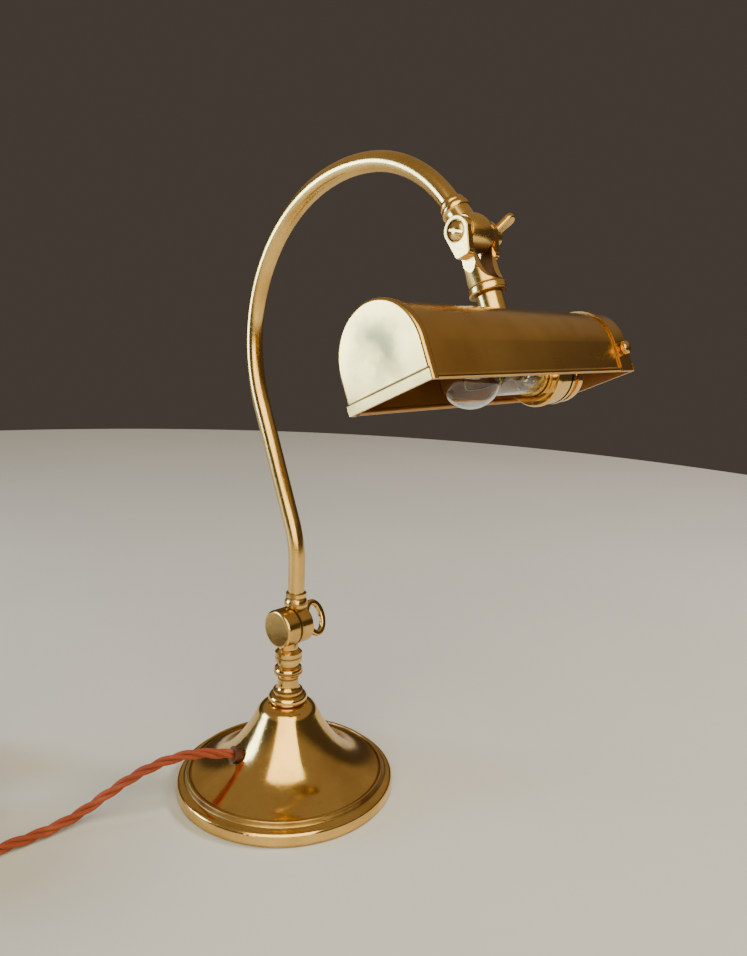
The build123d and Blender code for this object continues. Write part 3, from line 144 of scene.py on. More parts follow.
# The wires inside the lamp, in millimetres; the shade's is given along it and up from its opening
BASE_WIRE = [FLEX_MOUTH, (-22.4, 6.4, 26.4), (-6.34, 1.82, 20.08)]
ARM_WIRE = [
    (5.8, 0.0, 132.7),
    (5.8, 0.0, 148.7),
    (5.8, 0.0, 175.3),
    (5.8, 10.5, 199.7),
    (5.8, 27.4, 239.0),
    (5.8, 47.7, 286.0),
    (5.8, 43.4, 336.9),
    (5.8, 15.7, 379.9),
    (5.8, -29.0, 404.9),
    (5.8, -70.3, 405.6),
    (5.8, -99.6, 393.9),
    (5.8, -118.2, 375.5),
]
LAMP_WIRE = [(0.0, 36.4), (0.0, 28.3), (73.7, 28.3), (73.7, 7.8), (50.6, 7.8)]

# A braided core: its corners, the distance between its rings, the length that one unit of its UV map stands
# for, and the threads of its braid, in turns round the core and in radians along that length
CORE_SIDES = 10
CORE_STEP = 1.25 * MM
BRAID_UV_LENGTH = 10 * MM
BRAID_TURNS = 6
BRAID_PITCH = 34.0

# The plug's pieces, its sleeve's ribs in radians to the metre, and the felt's corners and its faces' insets
SLEEVE_RIBS = 1500.0
PAD_SIDES = 180
PAD_RINGS = (1.2 * MM, 8.0 * MM, 18.0 * MM, 24.0 * MM)

# Where dirt gathers and where shade is painted, in metres: the base's grooves by radius, the darker band at
# its rim's foot by height and the dirt round its bush by the distance from it; the neck's and the arm's
# foot's grooves by height, and the fork's by height over the upper pivot, with each wall of its slot, which
# is painted with shade, as a slope and a half width there; the shade's seams by their place along it, the
# painted shadow above its hems by height, and its smudges, with a painted darker reflection, by height over
# its opening and by the distance from their middle
BASE_GROOVES = (0.0656, 0.0686)
RIM_FOOT = (0.0006, 0.0022)
BUSH_EDGE = (0.0058, 0.0080)
NECK_GROOVES = (0.0630, 0.0702, 0.0726, 0.0814, 0.0864, 0.0904, 0.0972)
FOOT_GROOVES = (0.1317, 0.1345, 0.1381, 0.1419)
TURNED_GROOVE_WIDTH = 1.1 * MM
FOOT_GROOVE_WIDTH = 0.7 * MM
DRUM_FOOT = (0.104, 0.106)
SEAM_WIDTH = 1.6 * MM
PIVOT_SCREW_RADIUS = 5.1 * MM
PIVOT_SCREW_GAP = 0.9 * MM
FORK_NEAR_FACE = (-0.0125, -0.0115)
FORK_FOOT_GROOVES = (-0.0275, -0.0322)
FORK_GROOVE_WIDTH = 0.8 * MM
FORK_SLOT_TOP = (-0.0070, -0.0105)
FORK_SLOT_FLOOR = (-0.0267, -0.0265)
FORK_SLOT_WALLS = ((0.4575, 0.01238), (0.2514, 0.00923))
FORK_SLOT_EDGE = (0.0002, 0.0005)
SHADE_RIMS = (-0.0900, 0.0678)
SHADE_RIM_WIDTH = 0.5 * MM
# The painted shadow line just above the top of each end cap's hem strip, and its width
HEM_SHADOW_LINE = SHADE_HEM + 0.4 * MM
HEM_SHADOW_WIDTH = 0.8 * MM
SHADE_SKIN = (0.0230, 0.0235)
SHADE_WALL_BLUR = 0.1 * MM
REFLECTION_SMUDGE_HEIGHT = 21.0 * MM
REFLECTION_SMUDGE_REACH = (0.006, 0.021)

# The stage: the floor's gap under the lamp, and the backdrop's two tones with the heights where they blend
FLOOR_GAP = 0.3 * MM
FLOOR_SIDES = 256
BACKDROP_LOW = (0.062, 0.050, 0.040, 1)
BACKDROP_HIGH = (0.290, 0.225, 0.150, 1)
BACKDROP_BLEND = (0.31, 0.44)

# The square lights: name, place, aim, side, power, colour, and whether it shows as a glint
LIGHTS = (
    ("left_panel", (-1.05, 0.95, 0.42), (0, -0.08, 0.28), 0.56, 15.0, (0.54, 0.76, 1.0), True),
    ("camera_panel", (-1.10, -1.20, 1.12), (0, -0.05, 0.15), 2.1, 52.0, (1.0, 0.90, 0.54), True),
    ("key_light", (1.25, -1.05, 1.75), (0, -0.05, 0.15), 0.6, 40.0, (1.0, 0.96, 0.92), False),
)

# The camera: its place in millimetres, its heading, pitch and roll in degrees, and its shift in pixels
CAMERA_PLACE = (-338.88, -389.28, 330.99)
CAMERA_TURN = (50.48, -15.54, 3.61)
CAMERA_SHIFT = (-47.12, 54.83)
CAMERA_FRAME = 36.0
CAMERA_NEAREST = 0.01
PICTURE_HEIGHT = 956


def colour_property(name, description, default):
    return FloatVectorProperty(
        name=name, description=description, subtype="COLOR", size=3, min=0, max=1, default=default
    )


class LampFinish(bpy.types.PropertyGroup):
    """Colours of the lamp's finishes."""

    brass: colour_property("Brass", "Colour of the polished brass", (0.86, 0.56, 0.18))
    tarnish: colour_property("Tarnish", "Colour of the brass where it has dulled", (0.52, 0.28, 0.07))
    # Grime is also the colour of the painted shade in the fork's slot and of the painted shadow above the
    # shade's hems
    grime_and_shade: colour_property("Grime", "Colour of the dirt in the grooves", (0.095, 0.030, 0.011))
    # Also the colour of the painted darker reflection in the middle of each end face, along with its smudges
    smudge_and_reflection: colour_property("Smudge", "Colour of the dull patches on the shade's ends", (0.30, 0.26, 0.14))
    lining: colour_property("Shade lining", "Colour of the bare sheet inside the shade", (0.50, 0.25, 0.09))
    flex: colour_property("Flex", "Colour of the flex's braid", (0.36, 0.066, 0.026))
    flex_shadow: colour_property("Flex shadow", "Colour between the braid's threads", (0.11, 0.018, 0.009))
    plug: colour_property("Plug", "Colour of the plug's shell", (0.030, 0.020, 0.015))
    felt: colour_property("Felt", "Colour of the pad under the base", (0.030, 0.075, 0.040))
    strap: colour_property("Strap", "Colour of the tie round the coil", (0.030, 0.028, 0.027))


class LampSizes(bpy.types.PropertyGroup):
    """Sizes of the pieces that are modelled here."""

    flex_diameter: FloatProperty(
        name="Flex diameter", description="Over the three twisted cores", unit="LENGTH", default=7.0 * MM
    )
    flex_lay: FloatProperty(
        name="Flex lay", description="Length in which the cores twist once", unit="LENGTH", default=42 * MM
    )
    wire_diameter: FloatProperty(
        name="Wire diameter", description="Over the two cores in the shade", unit="LENGTH", default=3.6 * MM
    )
    pad_radius: FloatProperty(
        name="Pad radius", description="Of the felt under the base", unit="LENGTH", default=72.8 * MM
    )
    pad_thickness: FloatProperty(
        name="Pad thickness", description="Of the felt under the base", unit="LENGTH", default=1.6 * MM
    )


class LampStage(bpy.types.PropertyGroup):
    """Floor, light and camera."""

    floor: colour_property("Floor", "Colour of the floor", (0.62, 0.61, 0.59))
    floor_radius: FloatProperty(
        name="Floor radius", description="Of the round floor", unit="LENGTH", default=1.6
    )
    lens: FloatProperty(
        name="Lens", description="Focal length for a 36 mm frame", unit="CAMERA", default=30.557
    )


def deselect():
    """Leaves nothing selected, so that the next operator acts on the new piece alone."""
    if bpy.context.object and bpy.context.object.mode != "OBJECT":
        bpy.ops.object.mode_set(mode="OBJECT")
    for item in bpy.context.view_layer.objects:
        item.select_set(False)


def choose(piece):
    """Selects the piece alone and makes it the active one."""
    deselect()
    piece.select_set(True)
    bpy.context.view_layer.objects.active = piece


class Finish:
    """A material in the making: its node tree, its shader and short ways to add to it."""

    def __init__(self, name, **constants):
        self.material = bpy.data.materials.new(name)
        self.material.use_nodes = True
        self.tree = self.material.node_tree
        self.shader = self.tree.nodes["Principled BSDF"]
        for socket, value in constants.items():
            self.set(socket.replace("_", " ").title().replace("Ior", "IOR"), value)

    def set(self, socket, value):
        target = self.shader.inputs[socket]
        if isinstance(value, bpy.types.NodeSocket):
            self.tree.links.new(value, target)
        elif hasattr(value, "__len__"):
            target.default_value = (*value[:3], 1.0)
        else:
            target.default_value = value

    def add(self, kind, inputs, **settings):
        made = self.tree.nodes.new(kind)
        for key, value in settings.items():
            setattr(made, key, value)
        for key, value in inputs.items():
            if isinstance(value, bpy.types.NodeSocket):
                self.tree.links.new(value, made.inputs[key])
            else:
                made.inputs[key].default_value = value
        return made

    def place(self, centre=(0, 0, 0), turn=(0, 0, 0), stretch=(1, 1, 1)):
        """Object coordinates, moved so that centre is nought, then turned and stretched."""
        coordinates = self.tree.nodes.new("ShaderNodeTexCoord").outputs["Object"]
        inputs = {0: coordinates, 1: centre}
        moved = self.add("ShaderNodeVectorMath", inputs, operation="SUBTRACT").outputs[0]
        mapped = self.add("ShaderNodeMapping", {"Vector": moved, "Rotation": turn, "Scale": stretch})
        return mapped.outputs[0]

    def uv(self):
        return self.tree.nodes.new("ShaderNodeUVMap").outputs[0]

    def parts(self, vector):
        split = self.add("ShaderNodeSeparateXYZ", {0: vector})
        return split.outputs[0], split.outputs[1], split.outputs[2]

    def noise(self, vector, scale, detail=3.0, roughness=0.5, distortion=0.0):
        inputs = {"Vector": vector, "Scale": scale, "Detail": detail, "Roughness": roughness}
        inputs["Distortion"] = distortion
        return self.add("ShaderNodeTexNoise", inputs).outputs[0]

    def math(self, operation, *values):
        return self.add("ShaderNodeMath", dict(enumerate(values)), operation=operation).outputs[0]

    def between(self, value, low, high, to_low=0.0, to_high=1.0):
        """Value's range low to high, spread to the range to_low to to_high and held there."""
        inputs = {0: value, 1: low, 2: high, 3: to_low, 4: to_high}
        return self.add("ShaderNodeMapRange", inputs).outputs[0]

    def mix(self, share, first, second):
        """The first colour, with this share of the second one in it."""

        def colour(value):
            return value if isinstance(value, bpy.types.NodeSocket) else (*value[:3], 1.0)

        inputs = {0: share, 6: colour(first), 7: colour(second)}
        return self.add("ShaderNodeMix", inputs, data_type="RGBA").outputs[2]

    def round_about(self, one, two):
        """Distance from an axis, from the two coordinates square to it."""
        return self.math("SQRT", self.math("MULTIPLY_ADD", one, one, self.math("MULTIPLY", two, two)))

    def lines(self, value, places, width):
        """One on each of these places of value, falling to nought at the width from it."""
        share = 0.0
        for place in places:
            away = self.math("ABSOLUTE", self.math("SUBTRACT", value, place))
            share = self.math("MAXIMUM", self.between(away, width * 0.25, width, 1.0, 0.0), share)
        return share

    def bump(self, height, distance, strength=1.0, under=None):
        inputs = {"Height": height, "Distance": distance, "Strength": strength}
        if under is not None:
            inputs["Normal"] = under
        return self.add("ShaderNodeBump", inputs).outputs[0]


def dress(material, *names):
    """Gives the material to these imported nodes."""
    for name in names:
        piece = nodes[name]
        piece.data.materials.clear()
        piece.data.materials.append(material)


def flex_spline(name, points):
    """The smooth line of one open NURBS spline whose control points are these, in millimetres."""
    curve = bpy.data.curves.new(name, "CURVE")
    curve.dimensions = "3D"
    curve.resolution_u = 12
    spline = curve.splines.new("NURBS")
    spline.points.add(len(points) - 1)
    for slot, point in zip(spline.points, points):
        slot.co = (point[0] * MM, point[1] * MM, point[2] * MM, 1.0)
    spline.order_u = 3
    spline.use_endpoint_u = True
    line = bpy.data.objects.new(name, curve)
    bpy.context.scene.collection.objects.link(line)
    bpy.context.view_layer.update()
    shape = bpy.data.meshes.new_from_object(line)
    path = [vertex.co.copy() for vertex in shape.vertices]
    bpy.data.meshes.remove(shape)
    bpy.data.objects.remove(line)
    bpy.data.curves.remove(curve)
    return path


def even_path(path, step):
    """The same line with its points about one step apart."""
    lengths = [0.0]
    for before, after in zip(path, path[1:]):
        lengths.append(lengths[-1] + (after - before).length)
    count = max(2, round(lengths[-1] / step))
    spaced = []
    place = 0
    for index in range(count + 1):
        want = lengths[-1] * index / count
        while place < len(lengths) - 2 and lengths[place + 1] < want:
            place += 1
        run = lengths[place + 1] - lengths[place]
        share = (want - lengths[place]) / run if run > 0 else 0.0
        spaced.append(path[place].lerp(path[place + 1], share))
    return spaced, lengths[-1]


def twisted_flex(name, points, radius, lay, cores):
    """A mesh of braided cores twisted round a smooth line, with the braid's own UV map, and the line."""
    path, length = even_path(flex_spline(name + "_line", points), CORE_STEP)
    runs = [length * index / (len(path) - 1) for index in range(len(path))]
    sides = CORE_SIDES
    share = 1.0 / math.sin(math.pi / cores)
    core_radius = radius / (1 + share)
    offset = core_radius * share
    tangents = []
    for index in range(len(path)):
        tangents.append((path[min(index + 1, len(path) - 1)] - path[max(index - 1, 0)]).normalized())
    across = tangents[0].orthogonal().normalized()
    frames = []
    for index, tangent in enumerate(tangents):
        if index:
            across = tangents[index - 1].rotation_difference(tangent) @ across
            across = (across - tangent * across.dot(tangent)).normalized()
        frames.append((across.copy(), tangent.cross(across)))
    vertices = []
    faces = []
    uvs = []
    for core in range(cores):
        start = len(vertices)
        for index, (centre, (side, rise)) in enumerate(zip(path, frames)):
            turn = 2 * math.pi * (runs[index] / lay + core / cores)
            middle = centre + (side * math.cos(turn) + rise * math.sin(turn)) * offset
            for corner in range(sides):
                angle = turn + 2 * math.pi * corner / sides
                vertices.append(middle + (side * math.cos(angle) + rise * math.sin(angle)) * core_radius)
        for index in range(len(path) - 1):
            low = start + index * sides
            for corner in range(sides):
                after = (corner + 1) % sides
                faces.append((low + corner, low + after, low + sides + after, low + sides + corner))
                beside, ahead = corner + 1, index + 1
                for number, ring in ((corner, index), (beside, index), (beside, ahead), (corner, ahead)):
                    uvs.append((number / sides, runs[ring] / BRAID_UV_LENGTH))
        faces.append(tuple(start + corner for corner in reversed(range(sides))))
        uvs += [(0.0, 0.0)] * sides
        last = start + (len(path) - 1) * sides
        faces.append(tuple(last + corner for corner in range(sides)))
        uvs += [(0.0, 0.0)] * sides
    mesh = bpy.data.meshes.new(name)
    mesh.from_pydata(vertices, [], faces)
    layer = mesh.uv_layers.new(name="UVMap")
    for slot, uv in zip(layer.data, uvs):
        slot.uv = uv
    mesh.polygons.foreach_set("use_smooth", [True] * len(mesh.polygons))
    mesh.update()
    piece = bpy.data.objects.new(name, mesh)
    bpy.context.scene.collection.objects.link(piece)
    return piece, path


def coil_point(turns):
    """A point of the coil's line after so many turns from where the lead comes in."""
    span = COIL_LAYER_TURNS + COIL_CLIMB_TURNS
    layer = min(int(turns / span), COIL_LAYERS - 1)
    along = turns - span * layer
    wound = min(along, COIL_LAYER_TURNS)
    climb = max(along - COIL_LAYER_TURNS, 0) / COIL_CLIMB_TURNS
    inward = COIL_LAYER_TURNS - wound if layer % 2 == 0 else wound
    radius = COIL_INNER_RADIUS + COIL_PITCH * inward
    angle = -math.pi / 2 - 2 * math.pi * turns
    return (
        COIL_CENTRE[0] + radius * math.cos(angle),
        COIL_CENTRE[1] + radius * math.sin(angle),
        COIL_FLOOR + COIL_LAYER * (layer + (1 - math.cos(math.pi * climb)) / 2),
    )


def braid_finish(name, colour, shadow):
    """Dyed braid: crossing threads on the core, worn lighter in places, with a soft nap."""
    finish = Finish(name, roughness=0.8, sheen_weight=0.12, sheen_roughness=0.45, specular_ior_level=0.3)
    around, along, _ = finish.parts(finish.uv())
    crossing = []
    for way in (1, -1):
        spread = finish.math("MULTIPLY", around, way * BRAID_TURNS * 2 * math.pi)
        crossing.append(finish.math("SINE", finish.math("MULTIPLY_ADD", along, BRAID_PITCH, spread)))
    threads = finish.math("MULTIPLY_ADD", finish.math("MAXIMUM", *crossing), 0.5, 0.5)
    wear = finish.noise(finish.place(), 55.0, roughness=0.6)
    fibre = finish.noise(finish.place(), 1800.0, detail=2.0, roughness=0.6)
    body = finish.mix(finish.between(threads, 0.25, 0.85), shadow, colour)
    worn = tuple(min(1.0, channel * 1.35 + 0.03) for channel in colour)
    body = finish.mix(finish.between(wear, 0.52, 0.75, 0.0, 0.55), body, worn)
    finish.set("Base Color", finish.mix(finish.between(fibre, 0.3, 0.7, 0.0, 0.22), body, shadow))
    finish.set("Normal", finish.bump(finish.math("MULTIPLY_ADD", fibre, 0.5, threads), 0.00022, 0.7))
    return finish.material


class LAMP_OT_stage(bpy.types.Operator):
    """Lays the floor, hangs the soft lights and sets the camera"""

    bl_idname = "lamp.stage"
    bl_label = "Stage"

    def execute(self, context):
        stage = context.scene.lamp_stage
        deselect()
        bpy.ops.mesh.primitive_circle_add(
            vertices=FLOOR_SIDES, radius=stage.floor_radius, fill_type="NGON", location=(0, 0, -FLOOR_GAP)
        )
        floor = context.object
        floor.name = "floor"
        finish = Finish("floor_paper", roughness=0.62, specular_ior_level=0.3)
        cloud = finish.noise(finish.place(), 2.2, detail=4.0, roughness=0.55)
        darker = tuple(channel * 0.94 for channel in stage.floor)
        finish.set("Base Color", finish.mix(finish.between(cloud, 0.35, 0.65), darker, stage.floor))
        floor.data.materials.append(finish.material)

        world = bpy.data.worlds.new("studio")
        world.use_nodes = True
        tree = world.node_tree
        background = tree.nodes["Background"]
        coordinates = tree.nodes.new("ShaderNodeTexCoord")
        split = tree.nodes.new("ShaderNodeSeparateXYZ")
        ramp = tree.nodes.new("ShaderNodeValToRGB")
        tree.links.new(coordinates.outputs["Generated"], split.inputs[0])
        tree.links.new(split.outputs[2], ramp.inputs[0])
        low, high = ramp.color_ramp.elements
        low.position, high.position = BACKDROP_BLEND
        low.color = BACKDROP_LOW
        high.color = BACKDROP_HIGH
        tree.links.new(ramp.outputs[0], background.inputs[0])
        background.inputs[1].default_value = 1.0
        context.scene.world = world

        for name, place, aim, side, power, colour, glints in LIGHTS:
            lamp = bpy.data.lights.new(name, "AREA")
            lamp.size = side
            lamp.energy = power
            lamp.color = colour
            holder = bpy.data.objects.new(name, lamp)
            holder.location = place
            holder.visible_glossy = glints
            holder.rotation_euler = (Vector(aim) - Vector(place)).to_track_quat("-Z", "Y").to_euler()
            context.scene.collection.objects.link(holder)

        yaw, pitch, roll = (math.radians(angle) for angle in CAMERA_TURN)
        ahead = Vector((math.cos(pitch) * math.sin(yaw), math.cos(pitch) * math.cos(yaw), math.sin(pitch)))
        right = Vector((math.cos(yaw), -math.sin(yaw), 0))
        up = right.cross(ahead)
        rolled_right = right * math.cos(roll) + up * math.sin(roll)
        rolled_up = up * math.cos(roll) - right * math.sin(roll)
        camera = bpy.data.cameras.new("camera")
        camera.sensor_width = CAMERA_FRAME
        camera.lens = stage.lens
        camera.shift_x, camera.shift_y = (shift / PICTURE_HEIGHT for shift in CAMERA_SHIFT)
        camera.clip_start = CAMERA_NEAREST
        eye = bpy.data.objects.new("camera", camera)
        turn = Matrix((rolled_right, rolled_up, -ahead)).transposed().to_4x4()
        eye.matrix_world = Matrix.Translation(Vector(CAMERA_PLACE) * MM) @ turn
        context.scene.collection.objects.link(eye)
        context.scene.camera = eye
        return {"FINISHED"}


class LAMP_OT_flex(bpy.types.Operator):
    """Lays the twisted flex from the bell to its plug, with its spare length in a tied coil"""

    bl_idname = "lamp.flex"
    bl_label = "Flex"

    def execute(self, context):
        sizes = context.scene.lamp_sizes
        colours = context.scene.lamp_finish
        count = round(COIL_TURNS * COIL_POINTS_PER_TURN)
        coil = [coil_point(COIL_TURNS * index / count) for index in range(count + 1)]
        route = FLEX_LEAD + coil + FLEX_TAIL
        flex, path = twisted_flex("flex", route, sizes.flex_diameter / 2, sizes.flex_lay, cores=3)
        flex.data.materials.append(braid_finish("red_braid", colours.flex, colours.flex_shadow))
        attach(flex, "base")
        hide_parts("cord_lead", "cord_coil", "cord_tail")
        return {"FINISHED"}


def brass_finish(name, colours, gloss=(0.09, 0.22), dull=0.6, cloud_scale=28.0, dirt_and_shade=None, waves=0.10):
    """Polished brass gone uneven with age: clouded, specked, scratched, and darkened where dirt_and_shade
    says so.
    """
    finish = Finish(name, metallic=1.0)
    place = finish.place()
    cloud = finish.noise(place, cloud_scale, detail=4.0, roughness=0.55)
    speck = finish.noise(place, 420.0, roughness=0.6)
    scratch = finish.noise(finish.place(turn=(0.5, 0.3, 0.8), stretch=(1, 1, 5)), 240.0, detail=1.0)
    tone = finish.mix(finish.between(cloud, 0.42, 0.72, 0.0, dull), colours.brass, colours.tarnish)
    tone = finish.mix(finish.between(speck, 0.60, 0.82, 0.0, 0.5), tone, colours.tarnish)
    rough = finish.between(cloud, 0.30, 0.75, gloss[0], gloss[1])
    rough = finish.math("ADD", rough, finish.between(scratch, 0.55, 0.75, 0.0, 0.07))
    if dirt_and_shade is not None:
        patchy = finish.between(finish.noise(place, 40.0), 0.3, 0.7, 0.45, 0.9)
        share = finish.math("MINIMUM", finish.math("MULTIPLY", dirt_and_shade(finish), patchy), 0.95)
        tone = finish.mix(share, tone, colours.grime_and_shade)
        rough = finish.math("MULTIPLY_ADD", share, 0.40, rough)
    finish.set("Base Color", tone)
    finish.set("Roughness", rough)
    broad = finish.bump(finish.noise(place, 60.0, detail=2.0), 0.0006, waves)
    finish.set("Normal", finish.bump(scratch, 0.00004, 0.06, broad))
    return finish.material


def base_dirt(finish):
    """Dirt beside the base's bead and round the flex's bush, and darker along the rim's foot."""
    place = finish.place()
    x, y, z = finish.parts(place)
    grooves = finish.lines(finish.round_about(x, y), BASE_GROOVES, TURNED_GROOVE_WIDTH)
    foot = finish.between(z, *RIM_FOOT, 0.8, 0.0)
    mouth = finish.add("ShaderNodeVectorMath", {0: place, 1: Vector(FLEX_MOUTH) * MM}, operation="DISTANCE")
    hole = finish.between(mouth.outputs["Value"], *BUSH_EDGE, 1.0, 0.0)
    return finish.math("MAXIMUM", finish.math("MAXIMUM", grooves, foot), hole)


def neck_dirt(finish):
    """Dirt in the grooves of the neck and the arm's foot, and along the seam between the half drums."""
    x, _, z = finish.parts(finish.place())
    grooves = finish.lines(z, NECK_GROOVES, TURNED_GROOVE_WIDTH)
    seam = finish.math("MULTIPLY", finish.lines(x, (0.0,), SEAM_WIDTH), finish.between(z, *DRUM_FOOT))
    foot = finish.lines(z, FOOT_GROOVES, FOOT_GROOVE_WIDTH)
    return finish.math("MAXIMUM", finish.math("MAXIMUM", grooves, seam), foot)


def fork_dirt_and_shade(finish):
    """Dirt round the upper knuckle's screw and at the fork's foot, and painted shade, thicker, in the fork's
    slot.
    """
    x, back, up = finish.parts(finish.place(UPPER_PIVOT, (SHADE_TILT, 0, 0)))
    about_screw = finish.lines(finish.round_about(back, up), (PIVOT_SCREW_RADIUS,), PIVOT_SCREW_GAP)
    ring = finish.math("MULTIPLY", about_screw, finish.between(x, *FORK_NEAR_FACE, 1, 0))
    walls = [finish.math("MULTIPLY_ADD", up, slope, half) for slope, half in FORK_SLOT_WALLS]
    past_wall = finish.math("SUBTRACT", finish.math("ABSOLUTE", x), finish.math("MAXIMUM", *walls))
    # Painted shade: the fork's slot is darkened deep inside, at twice the strength of the dirt lines
    slot = finish.math("MULTIPLY", finish.between(up, *FORK_SLOT_TOP), finish.between(up, *FORK_SLOT_FLOOR))
    slot = finish.math("MULTIPLY", slot, finish.between(past_wall, *FORK_SLOT_EDGE, 2.0, 0.0))
    foot = finish.lines(up, FORK_FOOT_GROOVES, FORK_GROOVE_WIDTH)
    return finish.math("MAXIMUM", finish.math("MAXIMUM", ring, foot), slot)


def shade_finish(name, colours):
    """The shade's sheet: dulled outside, redder inside, painted brighter at its ends with smudges and a
    painted reflection, dirty at its seams, with a painted shadow above each hem.
    """
    finish = Finish(name, metallic=1.0)
    local = finish.place(SHADE_OPENING, (SHADE_TILT, 0, 0))
    x, back, up = finish.parts(local)
    crown = finish.math("MAXIMUM", finish.math("SUBTRACT", up, SHADE_SIDE), 0.0)
    from_axis = finish.round_about(back, crown)
    along = finish.math("ABSOLUTE", finish.math("SUBTRACT", x, SHADE_MIDDLE))
    inside = 1.0
    for reach, wall in ((from_axis, SHADE_MID_WALL), (along, SHADE_CAP_MID_WALL)):
        within = finish.between(reach, wall - SHADE_WALL_BLUR, wall + SHADE_WALL_BLUR, 1.0, 0.0)
        inside = finish.math("MULTIPLY", within, inside)
    end_face = finish.between(along, SHADE_CAP_MID_WALL, SHADE_CAP_MID_WALL + 2 * SHADE_WALL_BLUR)
    cloud = finish.noise(local, 30.0)
    speck = finish.noise(local, 380.0, roughness=0.6)
    drawn = finish.noise(finish.place(SHADE_OPENING, (SHADE_TILT, 0, 0), (0.06, 1, 1)), 900.0, detail=2.0)
    # Painted reflection: a darker, blotched patch round the middle of each end face, partly dull smudges
    middle = finish.round_about(back, finish.math("SUBTRACT", up, REFLECTION_SMUDGE_HEIGHT))
    blotch = finish.between(finish.noise(local, 62.0, distortion=0.2), 0.36, 0.66)
    smudge_and_reflection = finish.math("MULTIPLY", finish.between(middle, *REFLECTION_SMUDGE_REACH, 1.0, 0.0), blotch)
    smudge_and_reflection = finish.math("MULTIPLY", smudge_and_reflection, end_face)
    tone = finish.mix(finish.between(cloud, 0.35, 0.70, 0.50, 0.90), colours.brass, colours.tarnish)
    tone = finish.mix(finish.between(speck, 0.60, 0.82, 0.0, 0.4), tone, colours.tarnish)
    # Painted brightness: the end faces keep the untarnished brass colour, for the light they catch
    tone = finish.mix(end_face, tone, colours.brass)
    tone = finish.mix(finish.math("MULTIPLY", smudge_and_reflection, 0.75), tone, colours.smudge_and_reflection)
    lining = finish.mix(finish.between(cloud, 0.35, 0.65, 0.0, 0.6), colours.lining, colours.tarnish)
    tone = finish.mix(inside, tone, lining)
    # Painted shadow: a dark line along the top edge of each end cap's hem strip
    hem_shadow = finish.math("MULTIPLY", finish.lines(up, (HEM_SHADOW_LINE,), HEM_SHADOW_WIDTH), end_face)
    outside = finish.between(from_axis, *SHADE_SKIN)
    rims = finish.math("MULTIPLY", finish.lines(x, SHADE_RIMS, SHADE_RIM_WIDTH), outside)
    share = finish.math("MULTIPLY", finish.math("MAXIMUM", hem_shadow, finish.math("MULTIPLY", rims, 0.6)), 0.9)
    finish.set("Base Color", finish.mix(share, tone, colours.grime_and_shade))
    rough = finish.between(cloud, 0.30, 0.75, 0.19, 0.26)
    rough = finish.math("ADD", rough, finish.between(drawn, 0.5, 0.75, 0.0, 0.04))
    rough = finish.math("MULTIPLY_ADD", finish.math("MAXIMUM", inside, smudge_and_reflection), 0.18, rough)
    finish.set("Roughness", finish.math("MULTIPLY_ADD", share, 0.4, rough))
    dented = finish.between(end_face, 0, 1, 0.05, 0.45)
    dents = finish.bump(finish.noise(local, 26.0, detail=2.0), 0.0012, dented)
    finish.set("Normal", finish.bump(drawn, 0.00004, 0.05, dents))
    return finish.material


def moulded_finish(name, colour, roughness, ribs=None):
    """Moulded shell: a fine grain, faint flow clouds, rubbed lighter in places."""
    finish = Finish(name, specular_ior_level=0.5)
    place = finish.place()
    cloud = finish.noise(place, 45.0)
    fine = finish.noise(place, 900.0, detail=2.0, roughness=0.6)
    lighter = tuple(min(1.0, channel * 1.7 + 0.006) for channel in colour)
    finish.set("Base Color", finish.mix(finish.between(cloud, 0.42, 0.72, 0.0, 0.7), colour, lighter))
    finish.set("Roughness", finish.between(cloud, 0.3, 0.7, roughness - 0.06, roughness + 0.10))
    relief = finish.bump(fine, 0.00008, 0.35)
    if ribs is not None:
        wave = finish.math("SINE", finish.math("MULTIPLY", ribs(finish), SLEEVE_RIBS))
        relief = finish.bump(wave, 0.0004, 0.8, relief)
    finish.set("Normal", relief)
    return finish.material


def glass_finish(name, tint, roughness):
    """Clear blown glass with a little dust on it."""
    finish = Finish(name, transmission_weight=1.0, ior=1.48)
    dust = finish.noise(finish.place(), 240.0, detail=4.0, roughness=0.65)
    haze = finish.noise(finish.place(), 40.0, detail=2.0)
    dusty = tuple(channel * 0.86 for channel in tint)
    finish.set("Base Color", finish.mix(finish.between(dust, 0.55, 0.75, 0.0, 0.5), tint, dusty))
    finish.set("Roughness", finish.between(haze, 0.35, 0.7, roughness, roughness + 0.02))
    return finish.material


def plain_finish(name, dark, light, roughness, scale, metallic=0.0, relief=0.00008):
    """A plain material with a grain: two tones in clouds, uneven gloss and a fine relief."""
    finish = Finish(name, metallic=metallic)
    place = finish.place()
    cloud = finish.noise(place, scale, detail=4.0, roughness=0.6)
    fine = finish.noise(place, scale * 12, roughness=0.6)
    finish.set("Base Color", finish.mix(finish.between(cloud, 0.35, 0.68), dark, light))
    finish.set("Roughness", finish.between(fine, 0.3, 0.7, roughness - 0.06, roughness + 0.08))
    finish.set("Normal", finish.bump(fine, relief, 0.5))
    return finish.material


def settle(piece, angle):
    """Puts the piece's place into its mesh and smooths it up to the angle, in degrees."""
    choose(piece)
    bpy.ops.object.transform_apply(location=True, rotation=True, scale=True)
    bpy.ops.object.shade_smooth_by_angle(angle=math.radians(angle))


def select_faces(piece, wanted):
    """Selects just those faces that wanted says, and stays in edit mode."""
    bpy.ops.mesh.select_mode(type="FACE")
    bpy.ops.mesh.select_all(action="DESELECT")
    bpy.ops.object.mode_set(mode="OBJECT")
    found = 0
    for face in piece.data.polygons:
        face.select = bool(wanted(face))
        found += face.select
    if not found:
        raise RuntimeError(f"{piece.name}: no face of that kind")
    bpy.ops.object.mode_set(mode="EDIT")


def apply_modifier(piece, kind, **settings):
    """Adds a modifier with these settings and applies it."""
    modifier = piece.modifiers.new(kind.title(), kind)
    for key, value in settings.items():
        setattr(modifier, key, value)
    choose(piece)
    bpy.ops.object.modifier_apply(modifier=modifier.name)


